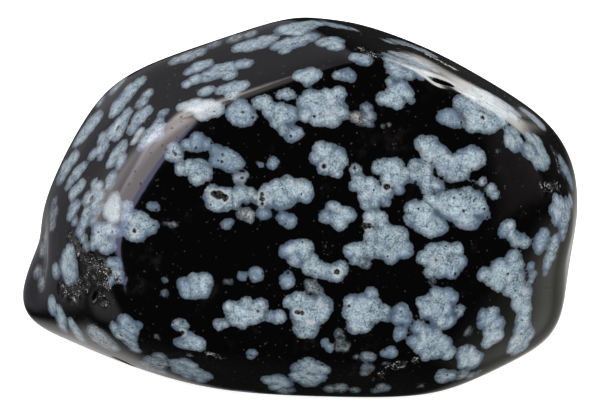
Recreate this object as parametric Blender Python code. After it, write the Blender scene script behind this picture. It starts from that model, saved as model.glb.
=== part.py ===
"""A tumbled and polished piece of snowflake obsidian.

One solid stone. Its skin is worked out from one inner point, the heart: every broad worn face is a plane at
its own distance from the heart, and the edges between the faces are rounded as tumbling rounds them. Shallow
hollows and one low swelling are pressed into that skin, and the underside is level where the stone rests.

Lengths are in millimetres until the mesh is made. +X is to the right of someone who looks at the front face,
+Y leads away from them and +Z is up. The origin is on the resting face, below the middle of the stone.
"""
import math

import bmesh
import bpy
from mathutils import Matrix, Vector

MILLIMETRE = 0.001
STONE_NAME = "obsidian_stone"

# The heart, in millimetres from the origin: seen from above, the overall box is centred on the origin
HEART = Vector((0.14, 1.98, 9.5))

# How crisp the edges between the faces are: a higher number gives a tighter edge
EDGE_CRISPNESS = 20.0

# Broad worn faces: bearing of the outward normal (0 to the right, -90 to the viewer, 180 to the left),
# its slope above the horizontal, both in degrees, and the distance of the face from the heart
WORN_FACES = {
    "front": (-90, 30, 13.0),
    "left_shoulder": (190, 40, 15.6),
    "top": (185, 73, 13.7),
    "top_right": (30, 57, 14.6),
    "crest": (47, 64, 14.05),
    "right_upper": (-60, 32, 17.6),
    "right_lower": (-56, 0, 17.4),
    "right_top": (-4, 33, 18.75),
    "right": (-3, -9, 20.2),
    "left": (171, 15, 18.3),
    "left_low": (207, 3, 18.8),
    "front_bevel": (-92, -36, 14.7),
    "left_bevel": (-112, -36, 15.8),
    "left_foot": (229, -53, 15.6),
    "right_bevel": (-49, -47, 17.1),
    "back_top": (116, 46, 13.1),
    "back_left": (130, 10, 14.5),
    "back_right": (50, 5, 16.0),
    "back": (90, 5, 11.5),
    "back_bevel": (86, -46, 12.8),
    "back_left_foot": (132, -44, 15.4),
    "underside": (0, -90, 9.58),
}

# Local forms: bearing and slope of the middle, depth in millimetres (a negative depth swells out) and the
# angle, seen from the heart, at which the form has faded to about a third
LOCAL_FORMS = {
    "lower_left_swelling": (188, -18, -0.6, 9.0),
    "left_hollow": (188, -5, 0.6, 7.0),
    "right_hollow": (-17, -3, 0.55, 9.0),
    "back_hollow": (98, 14, 0.45, 14.0),
    "chipped_hollow": (-139, 5, 0.5, 5.0),
    "chipped_hollow_tail": (-134, -1, 0.3, 4.0),
    "crest_nick": (-29, 50, 0.25, 3.5),
}

# The ball that the stone is shaped from: how finely it is divided, and where it is divided once or twice more,
# as the greatest width of a form that needs it and how many widths from its middle the finer faces reach
BALL_LEVEL = 5
SMALL_FORM_WIDTH = 6.0
FINER_REACH = (2.2, 1.5)

# Vertices closer than this after the level cut are one vertex
SLIVER = 0.05 * MILLIMETRE

# Finish of the polished black glass
GLASS_COLOUR = (0.006, 0.006, 0.007, 1.0)
GLASS_ROUGHNESS = 0.12
GLASS_IOR = 1.5


def direction(bearing, slope):
    """Unit vector for a bearing round the stone and a slope above the horizontal, in degrees."""
    turn = math.radians(bearing)
    rise = math.radians(slope)
    return Vector((math.cos(turn) * math.cos(rise), math.sin(turn) * math.cos(rise), math.sin(rise)))


def rounded_faces_distance(way, faces):
    """Distance from the heart to the worn faces along a unit vector, with their edges rounded."""
    total = 0.0
    for normal, distance in faces:
        share = way.dot(normal) / distance
        if share > 0.0:
            total += share ** EDGE_CRISPNESS
    return total ** (-1.0 / EDGE_CRISPNESS)


def local_depth(way, forms):
    """How far the hollows and the swelling move the skin inwards along a unit vector."""
    depth_here = 0.0
    for middle, depth, width in forms:
        angle = math.degrees(way.angle(middle))
        depth_here += depth * math.exp(-((angle / width) ** 2))
    return depth_here


def divide_near_small_forms(mesh, forms):
    """Divide the ball's triangles more finely where a small form will be pressed in."""
    for reach in FINER_REACH:
        chosen = []
        for edge in mesh.edges:
            ways = [vertex.co.normalized() for vertex in edge.verts]
            for middle, _, width in forms:
                limit = math.radians(reach * width)
                if width < SMALL_FORM_WIDTH and all(way.angle(middle) < limit for way in ways):
                    chosen.append(edge)
                    break
        bmesh.ops.subdivide_edges(mesh, edges=chosen, cuts=1, use_grid_fill=True)
    bmesh.ops.triangulate(mesh, faces=mesh.faces)


def press_into_shape(mesh, faces, forms):
    """Move every vertex of a ball round the origin onto the skin of the stone, in metres."""
    for vertex in mesh.verts:
        way = vertex.co.normalized()
        distance = rounded_faces_distance(way, faces) - local_depth(way, forms)
        vertex.co = (HEART + way * distance) * MILLIMETRE


def cut_resting_face(mesh):
    """Cut the rounded underside off level at z = 0 and close it with one flat face."""
    everything = list(mesh.verts) + list(mesh.edges) + list(mesh.faces)
    cut = bmesh.ops.bisect_plane(
        mesh,
        geom=everything,
        dist=1e-7,
        plane_co=(0.0, 0.0, 0.0),
        plane_no=(0.0, 0.0, 1.0),
        clear_inner=True,
    )
    rim = [item for item in cut["geom_cut"] if isinstance(item, bmesh.types.BMVert)]
    for vertex in rim:
        vertex.co.z = 0.0
    bmesh.ops.remove_doubles(mesh, verts=rim, dist=SLIVER)
    open_edges = [edge for edge in mesh.edges if edge.is_boundary]
    bmesh.ops.contextual_create(mesh, geom=open_edges)
    for edge in open_edges:
        edge.smooth = False


def polished_glass():
    """The near-black volcanic glass with its tumbled polish."""
    material = bpy.data.materials.new("obsidian_glass")
    material.use_nodes = True
    shader = material.node_tree.nodes["Principled BSDF"]
    shader.inputs["Base Color"].default_value = GLASS_COLOUR
    shader.inputs["Roughness"].default_value = GLASS_ROUGHNESS
    shader.inputs["Metallic"].default_value = 0.0
    shader.inputs["IOR"].default_value = GLASS_IOR
    material.diffuse_color = GLASS_COLOUR
    return material


def make_stone():
    """Build the stone as one closed solid."""
    faces = [(direction(bearing, slope), distance) for bearing, slope, distance in WORN_FACES.values()]
    forms = [(direction(bearing, slope), depth, width) for bearing, slope, depth, width in LOCAL_FORMS.values()]
    mesh = bmesh.new()
    bmesh.ops.create_icosphere(mesh, subdivisions=BALL_LEVEL, radius=1.0, matrix=Matrix.Identity(4))
    divide_near_small_forms(mesh, forms)
    press_into_shape(mesh, faces, forms)
    for face in mesh.faces:
        face.smooth = True
    cut_resting_face(mesh)
    bmesh.ops.recalc_face_normals(mesh, faces=mesh.faces)
    data = bpy.data.meshes.new(STONE_NAME)
    mesh.to_mesh(data)
    mesh.free()
    data.materials.append(polished_glass())
    stone = bpy.data.objects.new(STONE_NAME, data)
    bpy.context.scene.collection.objects.link(stone)
    return stone


for old in list(bpy.data.objects):
    bpy.data.objects.remove(old, do_unlink=True)

make_stone()
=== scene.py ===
"""A tumbled piece of snowflake obsidian: black volcanic glass with pale snowflakes grown through it.

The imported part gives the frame. The stone is built again here as a fine skin over the same worn faces, with
the chip, slits and hollows as real relief. The snowflakes that the photograph shows are balls of pale
mineral cut by the skin, and the sides that it doesn't show carry flakes of the same kind. Lengths are in
millimetres until a mesh, a light or the camera is made.
"""
import logging
import math
from dataclasses import dataclass, field
from enum import Enum

import bpy
import numpy as np
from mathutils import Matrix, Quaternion, Vector, noise
from mathutils.bvhtree import BVHTree

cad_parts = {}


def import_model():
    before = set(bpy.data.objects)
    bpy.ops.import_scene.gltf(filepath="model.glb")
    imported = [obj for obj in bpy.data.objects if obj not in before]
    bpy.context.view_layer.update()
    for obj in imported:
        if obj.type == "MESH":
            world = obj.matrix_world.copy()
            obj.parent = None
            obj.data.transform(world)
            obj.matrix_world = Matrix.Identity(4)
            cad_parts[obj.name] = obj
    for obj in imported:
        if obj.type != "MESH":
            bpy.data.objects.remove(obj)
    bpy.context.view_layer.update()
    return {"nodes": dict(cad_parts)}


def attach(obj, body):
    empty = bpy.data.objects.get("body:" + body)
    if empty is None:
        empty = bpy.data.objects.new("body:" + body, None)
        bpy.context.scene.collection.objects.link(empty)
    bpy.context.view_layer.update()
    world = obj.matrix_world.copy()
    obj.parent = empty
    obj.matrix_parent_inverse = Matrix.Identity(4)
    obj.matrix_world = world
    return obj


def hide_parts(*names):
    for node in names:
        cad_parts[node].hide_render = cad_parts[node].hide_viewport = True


LOG = logging.getLogger("snowflake_obsidian")
MILLIMETRE = 0.001
NODE_NAME = "obsidian_stone"

Colour = tuple[float, float, float, float]
Mark = tuple[float, float, float]
Range = tuple[float, float]
Socket = bpy.types.NodeSocket
Value = Socket | Colour | Mark | float

# The heart of the stone, the point that its skin is worked out from, as in the part's source
HEART = np.array((0.14, 1.98, 9.5))

# The way along the stone's length
RIGHT = np.array((1.0, 0.0, 0.0))

# Worn faces, as in the part's source: the normal's bearing and slope, and the distance from the heart
WORN_FACES = {
    "front": (-90, 30, 13.0),
    "left_shoulder": (190, 40, 15.6),
    "top": (185, 73, 13.7),
    "top_right": (30, 57, 14.6),
    "crest": (47, 64, 14.05),
    "right_upper": (-60, 32, 17.6),
    "right_lower": (-56, 0, 17.4),
    "right_top": (-4, 33, 18.75),
    "right": (-3, -9, 20.2),
    "left": (171, 15, 18.3),
    "left_low": (207, 3, 18.8),
    "front_bevel": (-92, -36, 14.7),
    "left_bevel": (-112, -36, 15.8),
    "left_foot": (229, -53, 15.6),
    "right_bevel": (-49, -47, 17.1),
    "back_top": (116, 46, 13.1),
    "back_left": (130, 10, 14.5),
    "back_right": (50, 5, 16.0),
    "back": (90, 5, 11.5),
    "back_bevel": (86, -46, 12.8),
    "back_left_foot": (132, -44, 15.4),
    "underside": (0, -90, 9.58),
}

# Local forms, as in the part's source: the middle's bearing and slope, the depth (below 0 swells) and width
LOCAL_FORMS = {
    "lower_left_swelling": (188, -18, -0.6, 9.0),
    "left_hollow": (188, -5, 0.6, 7.0),
    "right_hollow": (-17, -3, 0.55, 9.0),
    "back_hollow": (98, 14, 0.45, 14.0),
    "chipped_hollow": (-139, 5, 0.5, 5.0),
    "chipped_hollow_tail": (-134, -1, 0.3, 4.0),
    "crest_nick": (-29, 50, 0.25, 3.5),
}

# Slight forms that only the looks need, written as the local forms are
SLIGHT_FORMS = {
    "crest_swelling": (16, 54, -0.15, 10.0),
    "crest_swelling_right": (-4, 38, -0.15, 10.0),
    "left_trough_far": (172, -9, 0.38, 5.5),
    "left_trough": (181, -10.2, 0.38, 5.5),
    "left_trough_near": (190, -11.2, 0.38, 5.5),
}

# What a look's numbers say, in order: the mesh carries each as an attribute of this name
LOOK_PARTS = ("dimmed", "blue", "brown", "bright")

# Which sockets of a mix node are its two colours, and which output is the blended one
MIX_FIRST = 6
MIX_SECOND = 7
MIX_RESULT = 2


class Look(Enum):
    """How a snowflake shows: how dimmed it is by the glass over it, how blue, how brown and how bright. Where
    a bright flake lies under the window's reflection, its brightness is partly a painted highlight.
    """

    PALE = (0.0, 0.0, 0.0, 0.0)
    # Paler flakes; those under the window's reflection carry a partly painted highlight
    BRIGHT_AND_HIGHLIT = (0.0, 0.0, 0.0, 0.6)
    BLUE = (0.1, 1.0, 0.0, 0.0)
    SOFT = (0.2, 0.0, 0.2, 0.0)
    BROWN = (0.1, 0.0, 0.6, 0.3)
    DIM = (0.4, 0.0, 0.3, 0.0)
    DIM_BROWN = (0.5, 0.0, 0.8, 0.0)
    GHOST = (0.8, 0.0, 0.4, 0.0)


@dataclass(frozen=True)
class Flake:
    """One snowflake that the photograph shows.

    Each of its marks is a lobe: the photograph's pixel that the middle of the lobe lies under, across and
    down, and its radius in millimetres. The stretch is how much deeper than wide it runs where the skin
    turns away.
    """

    marks: tuple[Mark, ...]
    look: Look = Look.PALE
    stretch: float = 1.0


# Snowflakes that the photograph shows
SEEN_FLAKES = {
    "upper_left_bridge": Flake((
        (187, 144, 0.45), (197, 140, 0.62), (196, 145, 0.59), (206, 144, 0.52), (216, 151, 0.48),
        (216, 160, 0.55), (223, 158, 0.84), (231, 162, 0.77), (239, 164, 0.45), (229, 167, 0.40),
    ), Look.BLUE),
    "upper_left_slab": Flake((
        (181, 169, 0.52), (190, 167, 0.62), (200, 168, 0.69), (206, 175, 0.45), (197, 178, 0.59),
        (205, 170, 0.55),
    )),
    "ridge_button": Flake(((173, 148, 0.49), (176, 155, 0.59), (171, 155, 0.45))),
    "ringed_hole": Flake((
        (212, 196, 0.67), (217, 201, 0.80), (213, 189, 0.38), (224, 199, 0.87), (228, 196, 0.62),
        (226, 206, 0.43),
    )),
    "beside_ringed_hole": Flake((
        (240, 191, 0.52), (236, 198, 0.55), (245, 196, 0.55), (235, 204, 0.38), (249, 194, 0.51),
        (256, 197, 0.45),
    )),
    "pebble": Flake(((237, 178, 0.35), (242, 178, 0.40), (246, 175, 0.29)), Look.BRIGHT_AND_HIGHLIT),
    "rough_foot": Flake(((242, 214, 0.45), (248, 215, 0.52), (250, 219, 0.30)), Look.BROWN),
    "smooth_foot": Flake(((263, 213, 0.52), (267, 214, 0.35)), Look.BLUE),
    "centre_left_cloud": Flake((
        (260, 199, 0.52), (268, 191, 0.59), (270, 200, 0.59), (277, 188, 0.69), (281, 200, 0.77),
        (287, 184, 0.67), (292, 193, 0.69), (302, 189, 0.77), (305, 194, 0.69), (286, 201, 0.62),
    )),
    "centre_left_drop": Flake(((284, 218, 0.49), (290, 221, 0.55), (281, 218, 0.35)), Look.BLUE),
    "low_seed": Flake(((226, 224, 0.42), (230, 222, 0.27)), Look.BLUE),
    "round_seed": Flake(((273, 163, 0.47),), Look.BLUE),
    "seed_crumb": Flake(((261, 165, 0.23), (258, 163, 0.14)), Look.BLUE),
    "upper_cloud": Flake((
        (259, 102, 0.59), (265, 102, 0.62), (270, 110, 0.64), (280, 114, 0.81), (288, 115, 0.77),
        (277, 121, 0.55), (284, 129, 0.49), (293, 133, 0.62), (299, 132, 0.38), (290, 139, 0.38),
    )),
    "upper_bean": Flake(((280, 95, 0.40), (286, 94, 0.48), (291, 95, 0.36))),
    "upper_mushroom": Flake((
        (301, 75, 0.62), (308, 74, 0.72), (315, 75, 0.55), (308, 81, 0.42),
    ), stretch=1.15),
    "great_cloud": Flake((
        (305, 103, 0.62), (306, 113, 0.67), (311, 98, 0.69), (318, 104, 0.98), (327, 100, 0.81),
        (338, 94, 0.62), (335, 103, 0.67), (327, 114, 0.91), (340, 111, 0.67), (345, 114, 0.35),
        (333, 120, 0.59), (317, 117, 0.69),
    )),
    "upper_boot": Flake(((337, 75, 0.38), (344, 75, 0.45), (347, 71, 0.30), (350, 76, 0.48))),
    "upper_star": Flake((
        (382, 98, 0.48), (390, 98, 0.67), (396, 92, 0.77), (402, 87, 0.55), (407, 94, 0.55),
        (397, 101, 0.62), (411, 101, 0.29), (390, 82, 0.35),
    )),
    "veiled_patch": Flake((
        (366, 109, 0.50), (370, 116, 0.48), (367, 120, 0.45), (371, 124, 0.30),
    ), Look.SOFT),
    "veiled_patch_left": Flake(((356, 117, 0.50), (361, 121, 0.42)), Look.DIM_BROWN),
    "speckled_star": Flake((
        (316, 158, 0.52), (322, 150, 0.67), (329, 152, 0.69), (337, 155, 0.67), (333, 163, 0.84),
        (341, 161, 0.55), (337, 172, 0.48), (325, 168, 0.55),
    )),
    "diagonal_cloud": Flake((
        (356, 170, 0.45), (358, 178, 0.52), (354, 185, 0.42), (362, 186, 0.64), (370, 186, 0.64),
        (366, 196, 0.64), (376, 194, 0.74), (384, 194, 0.64), (385, 201, 0.42), (366, 204, 0.45),
        (375, 203, 0.49),
    )),
    "shelf_cloud": Flake((
        (379, 167, 0.59), (388, 167, 0.69), (395, 168, 0.74), (388, 178, 0.59), (398, 179, 0.69),
        (399, 189, 0.45), (405, 175, 0.55),
    )),
    "stepping_cloud": Flake((
        (422, 143, 0.59), (430, 147, 0.81), (429, 156, 0.64), (438, 155, 0.84), (446, 161, 0.69),
        (456, 166, 0.84), (463, 159, 0.69), (472, 158, 0.91), (478, 159, 0.62), (452, 174, 0.62),
        (461, 171, 0.67), (443, 169, 0.55),
    )),
    "stepping_cloud_left": Flake((
        (415, 166, 0.55), (415, 176, 0.59), (424, 168, 0.67), (425, 179, 0.67), (434, 185, 0.55),
        (428, 188, 0.52), (440, 186, 0.40),
    )),
    "right_cloud": Flake((
        (431, 199, 0.55), (438, 204, 0.62), (445, 200, 0.69), (455, 200, 0.77), (467, 199, 0.88),
        (476, 200, 0.69), (480, 209, 0.67), (467, 211, 0.84), (455, 212, 0.69), (446, 212, 0.59),
        (467, 221, 0.69), (473, 222, 0.59), (461, 220, 0.59), (486, 215, 0.38), (441, 194, 0.33),
    )),
    "right_egg": Flake((
        (413, 209, 0.67), (413, 218, 0.67), (424, 212, 0.84), (423, 221, 0.91), (433, 225, 0.87),
        (440, 227, 0.62), (430, 231, 0.52),
    )),
    "ringed_dot": Flake(((482.5, 181.5, 0.37),), Look.BRIGHT_AND_HIGHLIT),
    "ringed_dot_tail": Flake(((491, 189, 0.47), (495, 194, 0.41))),
    "right_crumb": Flake(((473, 182, 0.12),)),
    "under_ridge": Flake((
        (443, 117, 0.52), (450, 117, 0.68), (455, 121, 0.55), (459, 122, 0.36),
    ), Look.BLUE),
    "lone_clover": Flake((
        (331, 207, 0.45), (336, 209, 0.52), (326, 217, 0.55), (336, 217, 0.62), (340, 223, 0.59),
        (349, 215, 0.59), (344, 214, 0.59),
    )),
    "leaning_cloud": Flake((
        (371, 217, 0.59), (380, 219, 0.62), (384, 228, 0.52), (366, 226, 0.29), (371, 236, 0.55),
        (381, 236, 0.67), (390, 238, 0.91), (398, 237, 0.81), (402, 248, 0.77), (391, 251, 0.84),
        (379, 249, 0.69), (371, 249, 0.69), (360, 251, 0.67), (352, 251, 0.62), (361, 262, 0.38),
        (354, 260, 0.40), (391, 259, 0.48), (407, 252, 0.48),
    )),
    "leaning_cloud_fringe": Flake(((366, 264, 0.43),), Look.DIM),
    "shell": Flake((
        (424, 258, 0.59), (434, 253, 0.77), (445, 252, 0.77), (456, 250, 0.59), (458, 262, 0.69),
        (446, 263, 0.84), (434, 263, 0.62), (430, 272, 0.48), (441, 271, 0.62), (452, 270, 0.67),
    )),
    "under_shell": Flake((
        (437, 294, 0.59), (447, 296, 0.67), (452, 299, 0.55), (423, 303, 0.55), (428, 311, 0.67),
        (438, 305, 0.84), (446, 310, 0.67), (439, 320, 0.69), (450, 321, 0.59), (446, 323, 0.55),
        (431, 302, 0.65), (446, 303, 0.60), (437, 313, 0.70),
    )),
    "under_shell_bud": Flake(((457, 309, 0.38), (461, 309, 0.38), (460, 314, 0.30))),
    "wedge": Flake((
        (285, 251, 0.52), (293, 249, 0.67), (302, 248, 0.67), (308, 247, 0.45), (295, 259, 0.59),
        (303, 255, 0.55),
    )),
    "ringed_chain": Flake((
        (312, 261, 0.55), (309, 267, 0.59), (317, 269, 0.67), (325, 271, 0.59), (334, 273, 0.67),
        (341, 268, 0.59), (337, 276, 0.48),
    )),
    "chain_drop": Flake(((311, 286, 0.52), (318, 291, 0.45), (308, 283, 0.33)), Look.DIM),
    "lower_star": Flake((
        (290, 302, 0.52), (299, 301, 0.74), (310, 304, 0.69), (322, 306, 0.81), (312, 316, 0.84),
        (300, 314, 0.77), (302, 330, 0.62), (310, 329, 0.67), (296, 327, 0.33), (320, 315, 0.62),
    )),
    "heart_flake": Flake((
        (352, 303, 0.62), (351, 313, 0.67), (355, 325, 0.67), (364, 325, 0.62), (362, 305, 0.84),
        (371, 294, 0.55), (372, 304, 0.69), (375, 313, 0.77), (384, 311, 0.52), (386, 317, 0.38),
        (362, 315, 0.84),
    )),
    "twin": Flake((
        (401, 311, 0.60), (405, 318, 0.58), (398, 318, 0.55), (402, 316, 0.60), (401, 332, 0.50),
        (399, 336, 0.42), (406, 324, 0.30),
    )),
    "block": Flake((
        (184, 284, 0.55), (186, 291, 0.59), (194, 281, 0.59), (205, 281, 0.62), (203, 290, 0.62),
        (195, 290, 0.67),
    )),
    "small_pair": Flake(((256, 274, 0.55), (258, 276, 0.45)), Look.BLUE),
    "small_pair_bud": Flake(((242, 276, 0.36),), Look.BLUE),
    "round_drop": Flake(((287, 281, 0.59), (288, 274, 0.30)), Look.BLUE),
    "lower_left_cloud": Flake((
        (230, 307, 0.52), (246, 305, 0.62), (260, 306, 0.59), (238, 309, 0.62), (256, 312, 0.77),
        (246, 315, 0.77), (234, 318, 0.59), (242, 322, 0.52), (251, 318, 0.55),
    )),
    "lower_left_tail": Flake(((219, 324, 0.45), (226, 324, 0.30))),
    "lower_bridge": Flake(((271, 317, 0.45), (279, 317, 0.52))),
    "lower_button": Flake(((325, 343, 0.38), (330, 348, 0.38)), Look.BLUE),
    "brown_veil": Flake(((340, 338, 0.52), (344, 346, 0.56), (338, 348, 0.40)), Look.GHOST),
    "brown_veil_top": Flake(((339, 334, 0.40),), Look.DIM),
    "blue_oval": Flake(((386, 353, 0.46), (392, 353, 0.50), (390, 351, 0.45)), Look.BLUE),
    "blue_dot": Flake(((252, 353, 0.45), (250, 357, 0.33)), Look.BLUE),
    "round_left": Flake(((178, 325, 0.48), (183, 325, 0.45))),
    "left_bun": Flake((
        (180, 343, 0.52), (190, 338, 0.52), (192, 344, 0.77), (198, 344, 0.59), (187, 333, 0.26),
        (184, 346, 0.48), (199, 348, 0.47),
    )),
    "bun_foot": Flake(((189, 355, 0.29), (188, 360, 0.29)), Look.DIM, stretch=1.2),
    "near_ridge_pair": Flake(((151, 206, 0.35), (155, 207, 0.38)), Look.BLUE),
    "corner_cloud": Flake((
        (127, 207, 0.52), (129, 217, 0.69), (128, 229, 0.62), (139, 221, 0.77), (149, 227, 0.62),
        (154, 225, 0.40), (140, 233, 0.62), (134, 234, 0.55),
    )),
    "chip_flake": Flake((
        (111, 264, 0.52), (116, 264, 0.48), (112, 275, 0.62), (118, 276, 0.52), (109, 282, 0.45),
    )),
    "right_wave": Flake((
        (507, 227, 0.58), (503, 232, 0.48), (511, 234, 0.52), (517, 240, 0.58), (525, 243, 0.50),
        (510, 225, 0.48), (521, 240, 0.50),
    )),
    "long_right_cloud": Flake((
        (484, 274, 0.58), (492, 277, 0.72), (500, 267, 0.76), (505, 276, 0.94), (513, 258, 0.69),
        (516, 266, 0.72), (500, 282, 0.80), (515, 279, 0.87), (511, 288, 0.72), (519, 291, 0.80),
        (525, 294, 0.72), (521, 302, 0.87), (524, 310, 0.72), (523, 319, 0.72), (522, 328, 0.80),
        (526, 336, 0.87), (518, 341, 0.87), (514, 347, 0.72), (522, 348, 0.72), (517, 351, 0.58),
    ), stretch=1.15),
    "right_seed": Flake(((531, 266, 0.43), (533, 275, 0.40), (531, 281, 0.36))),
    "right_bean": Flake((
        (540, 244, 0.60), (544, 234, 0.52), (542, 239, 0.60), (539, 249, 0.42),
    ), Look.BLUE, stretch=1.3),
    "ear": Flake((
        (483, 315, 0.54), (492, 315, 0.68), (484, 323, 0.58), (497, 325, 0.72), (496, 335, 0.72),
        (488, 342, 0.58), (492, 329, 0.80), (489, 321, 0.70), (490, 335, 0.60),
    ), stretch=1.2),
    "valley_slab": Flake((
        (419, 328, 0.58), (416, 341, 0.65), (424, 345, 0.87), (432, 341, 0.87), (443, 347, 0.87),
        (428, 354, 0.69), (449, 353, 0.65), (438, 351, 0.75), (426, 335, 0.80), (436, 335, 0.60),
        (441, 341, 0.60),
    )),
    "valley_end": Flake((
        (464, 353, 0.69), (465, 361, 0.72), (474, 362, 0.72), (478, 358, 0.54), (469, 352, 0.60),
        (471, 357, 0.70),
    ), stretch=1.15),
    "rim_cloud_right": Flake((
        (561, 205, 0.76), (560, 214, 0.80), (568, 205, 0.72), (571, 200, 0.58), (564, 222, 0.70),
        (563, 231, 0.50), (557, 200, 0.55), (555, 210, 0.60), (557, 219, 0.55), (568, 214, 0.60),
        (563, 238, 0.30),
    ), stretch=1.3),
    "rim_leaf": Flake((
        (555, 240, 0.50), (553, 248, 0.62), (550, 257, 0.60), (547, 265, 0.48), (545, 273, 0.30),
    ), stretch=1.2),
    "rim_seed": Flake((
        (561, 161, 0.58), (566, 170, 0.65), (570, 179, 0.58), (572, 186, 0.43),
    ), Look.BLUE, stretch=2.2),
    "rim_far": Flake(((526, 112, 0.65), (533, 117.5, 0.76), (540, 124, 0.65)), Look.BLUE, stretch=1.6),
    "crest_bright": Flake((
        (390, 60, 0.62), (394, 65, 0.72), (403, 64, 0.87), (412, 67, 0.9), (398, 71, 0.6),
        (422, 70, 0.8), (410, 73, 0.58), (431, 73.5, 0.5), (420, 75, 0.5), (429, 77, 0.36),
    ), stretch=1.6),
    "crest_bright_top": Flake((
        (390, 56, 0.7), (398, 55, 0.85), (407, 57, 0.9), (416, 60.5, 0.85), (425, 65, 0.8),
        (433, 69.5, 0.6), (400, 60, 0.8), (410, 62, 0.8), (420, 66, 0.75),
    ), stretch=1.5),
    "crest_far": Flake((
        (389, 41.5, 0.65), (397, 42, 0.85), (406, 44, 0.85), (415, 47.5, 0.8), (424, 51, 0.75),
        (432, 55, 0.55),
    ), stretch=1.6),
    "great_ridge": Flake((
        (461, 101, 0.58), (467, 107, 0.52), (471, 98, 0.80), (476, 109, 0.90), (479, 120, 0.80),
        (485, 99, 0.94), (488, 111, 1.05), (491, 121, 0.80), (500, 110, 0.94), (500, 119, 0.76),
        (511, 114, 0.72), (515, 118, 0.51),
    ), stretch=1.7),
    "great_ridge_top": Flake((
        (472, 93, 0.7), (481, 92.5, 0.85), (490, 95.5, 0.9), (500, 101, 0.87), (509, 107, 0.8),
        (516, 112.5, 0.58), (482, 97, 0.8), (493, 101, 0.8), (503, 107, 0.76),
    ), stretch=1.5),
    "ridge_knob": Flake((
        (509, 131, 0.55), (515, 132, 0.58), (511, 138, 0.62), (518, 139, 0.60), (514, 146, 0.52),
        (519, 147, 0.40), (508, 143, 0.36),
    ), stretch=1.15),
    "ridge_slab": Flake((
        (530, 138, 0.62), (537, 142, 0.76), (531, 151, 0.72), (541, 151, 0.76), (540, 161, 0.72),
        (545, 158, 0.65), (544, 165, 0.45),
    ), stretch=2),
    "cap_button": Flake(((357, 57, 0.62), (363, 58, 0.70), (367, 61, 0.45)), stretch=1.2),
    # Under the window's reflection: its bright look is partly a painted highlight
    "left_top_bright": Flake((
        (183, 106, 0.61), (193, 105, 0.87), (204, 107, 0.98), (214, 109, 0.83), (205, 112, 0.83),
    ), Look.BRIGHT_AND_HIGHLIT),
    "left_top_cloud": Flake((
        (240, 104, 0.55), (235, 112, 0.77), (241, 114, 0.98), (247, 118, 0.62), (253, 117, 0.38),
    ), Look.BLUE),
    "left_top_upper": Flake(((224, 89, 0.72), (232, 87, 0.87), (240, 86, 0.76), (233, 94, 0.65))),
    "left_top_small": Flake(((206, 91, 0.72),)),
    "left_ridge_bright": Flake((
        (163, 113, 0.52), (159, 121, 0.50), (156, 129, 0.82), (149, 136, 0.95), (143, 144, 0.65),
        (158, 135, 0.55),
    ), stretch=1.1),
    # The two ridge flakes below run along the window's reflection: their bright look is partly a painted
    # highlight
    "left_ridge_leaf": Flake(((139, 133, 0.58), (135, 140, 0.51)), Look.BRIGHT_AND_HIGHLIT, stretch=1.1),
    "left_ridge_low": Flake((
        (113, 200, 0.69), (111, 208, 0.87), (113, 216, 0.61),
    ), Look.BRIGHT_AND_HIGHLIT, stretch=1.1),
    "shoulder_leaf": Flake(((146, 112, 0.65), (139, 118, 0.80), (133, 128, 0.65)), stretch=1.37),
    "shoulder_chain": Flake((
        (126, 115, 0.65), (120, 124, 0.87), (112, 132, 0.80), (103, 138, 0.65), (118, 133, 0.72),
        (102, 148, 0.80), (93, 154, 0.58), (101, 156, 0.43),
    ), stretch=1.37),
    "shoulder_edge_leaf": Flake((
        (97, 118, 0.72), (90, 125, 0.94), (83, 134, 0.94), (77, 141, 0.65),
    ), stretch=1.37),
    "shoulder_high_leaf": Flake((
        (139, 82, 0.65), (130, 90, 0.80), (125, 97, 0.80), (118, 106, 0.87), (114, 112, 0.58),
    ), stretch=1.37),
    "shoulder_seed": Flake(((147, 94, 0.58), (142, 102, 0.65)), Look.SOFT, stretch=1.31),
    "shoulder_rim": Flake(((121, 81, 0.72), (114, 88, 0.72)), Look.SOFT, stretch=1.54),
    "shoulder_rim_low": Flake(((100, 101, 0.65),), Look.SOFT, stretch=1.54),
    "shoulder_fan": Flake((
        (121, 148, 0.72), (116, 155, 0.80), (111, 162, 0.58), (121, 160, 0.65), (119, 166, 0.43),
    ), stretch=1.37),
    "shoulder_drop": Flake(((111, 178, 0.65), (110, 184, 0.51)), stretch=1.31),
    "left_rim_leaf": Flake(((73, 158, 0.72), (66, 167, 0.87), (61, 177, 0.72)), stretch=1.66),
    "left_leaf": Flake(((83, 167, 0.51), (77, 173, 0.72), (71, 181, 0.58), (68, 186, 0.43)), stretch=1.47),
    "left_drop": Flake(((80, 186, 0.65), (74, 192, 0.65), (73, 197, 0.43)), stretch=1.41),
    "left_ring_cloud": Flake((
        (94, 183, 0.43), (97, 189, 0.72), (88, 198, 0.65), (99, 196, 0.65), (94, 205, 0.51),
    ), stretch=1.47),
    "left_low_leaf": Flake(((74, 208, 0.72), (71, 214, 0.58), (75, 221, 0.43)), stretch=1.41),
    "left_low_chain": Flake((
        (87, 213, 0.65), (84, 222, 0.65), (80, 231, 0.58), (83, 240, 0.51), (86, 246, 0.43),
        (96, 212, 0.43), (92, 221, 0.47), (99, 206, 0.43),
    ), stretch=1.47),
    "left_low_cloud": Flake((
        (98, 229, 0.65), (107, 230, 0.65), (115, 231, 0.43), (98, 239, 0.65), (106, 246, 0.65),
        (93, 245, 0.43),
    ), stretch=1.34),
    "foot_leaf": Flake((
        (70, 251, 0.58), (68, 258, 0.80), (68, 266, 0.94), (70, 274, 0.80), (68, 280, 0.51),
    ), stretch=1.9),
    "foot_seed": Flake(((56, 271, 0.65),), stretch=1.66),
    "rim_strip_high": Flake(((54, 202, 0.51), (53, 213, 0.72), (52, 225, 0.58)), Look.DIM, stretch=1.79),
    "rim_strip_mid": Flake(((46, 238, 0.65), (43, 250, 0.65)), Look.DIM, stretch=2.05),
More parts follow.
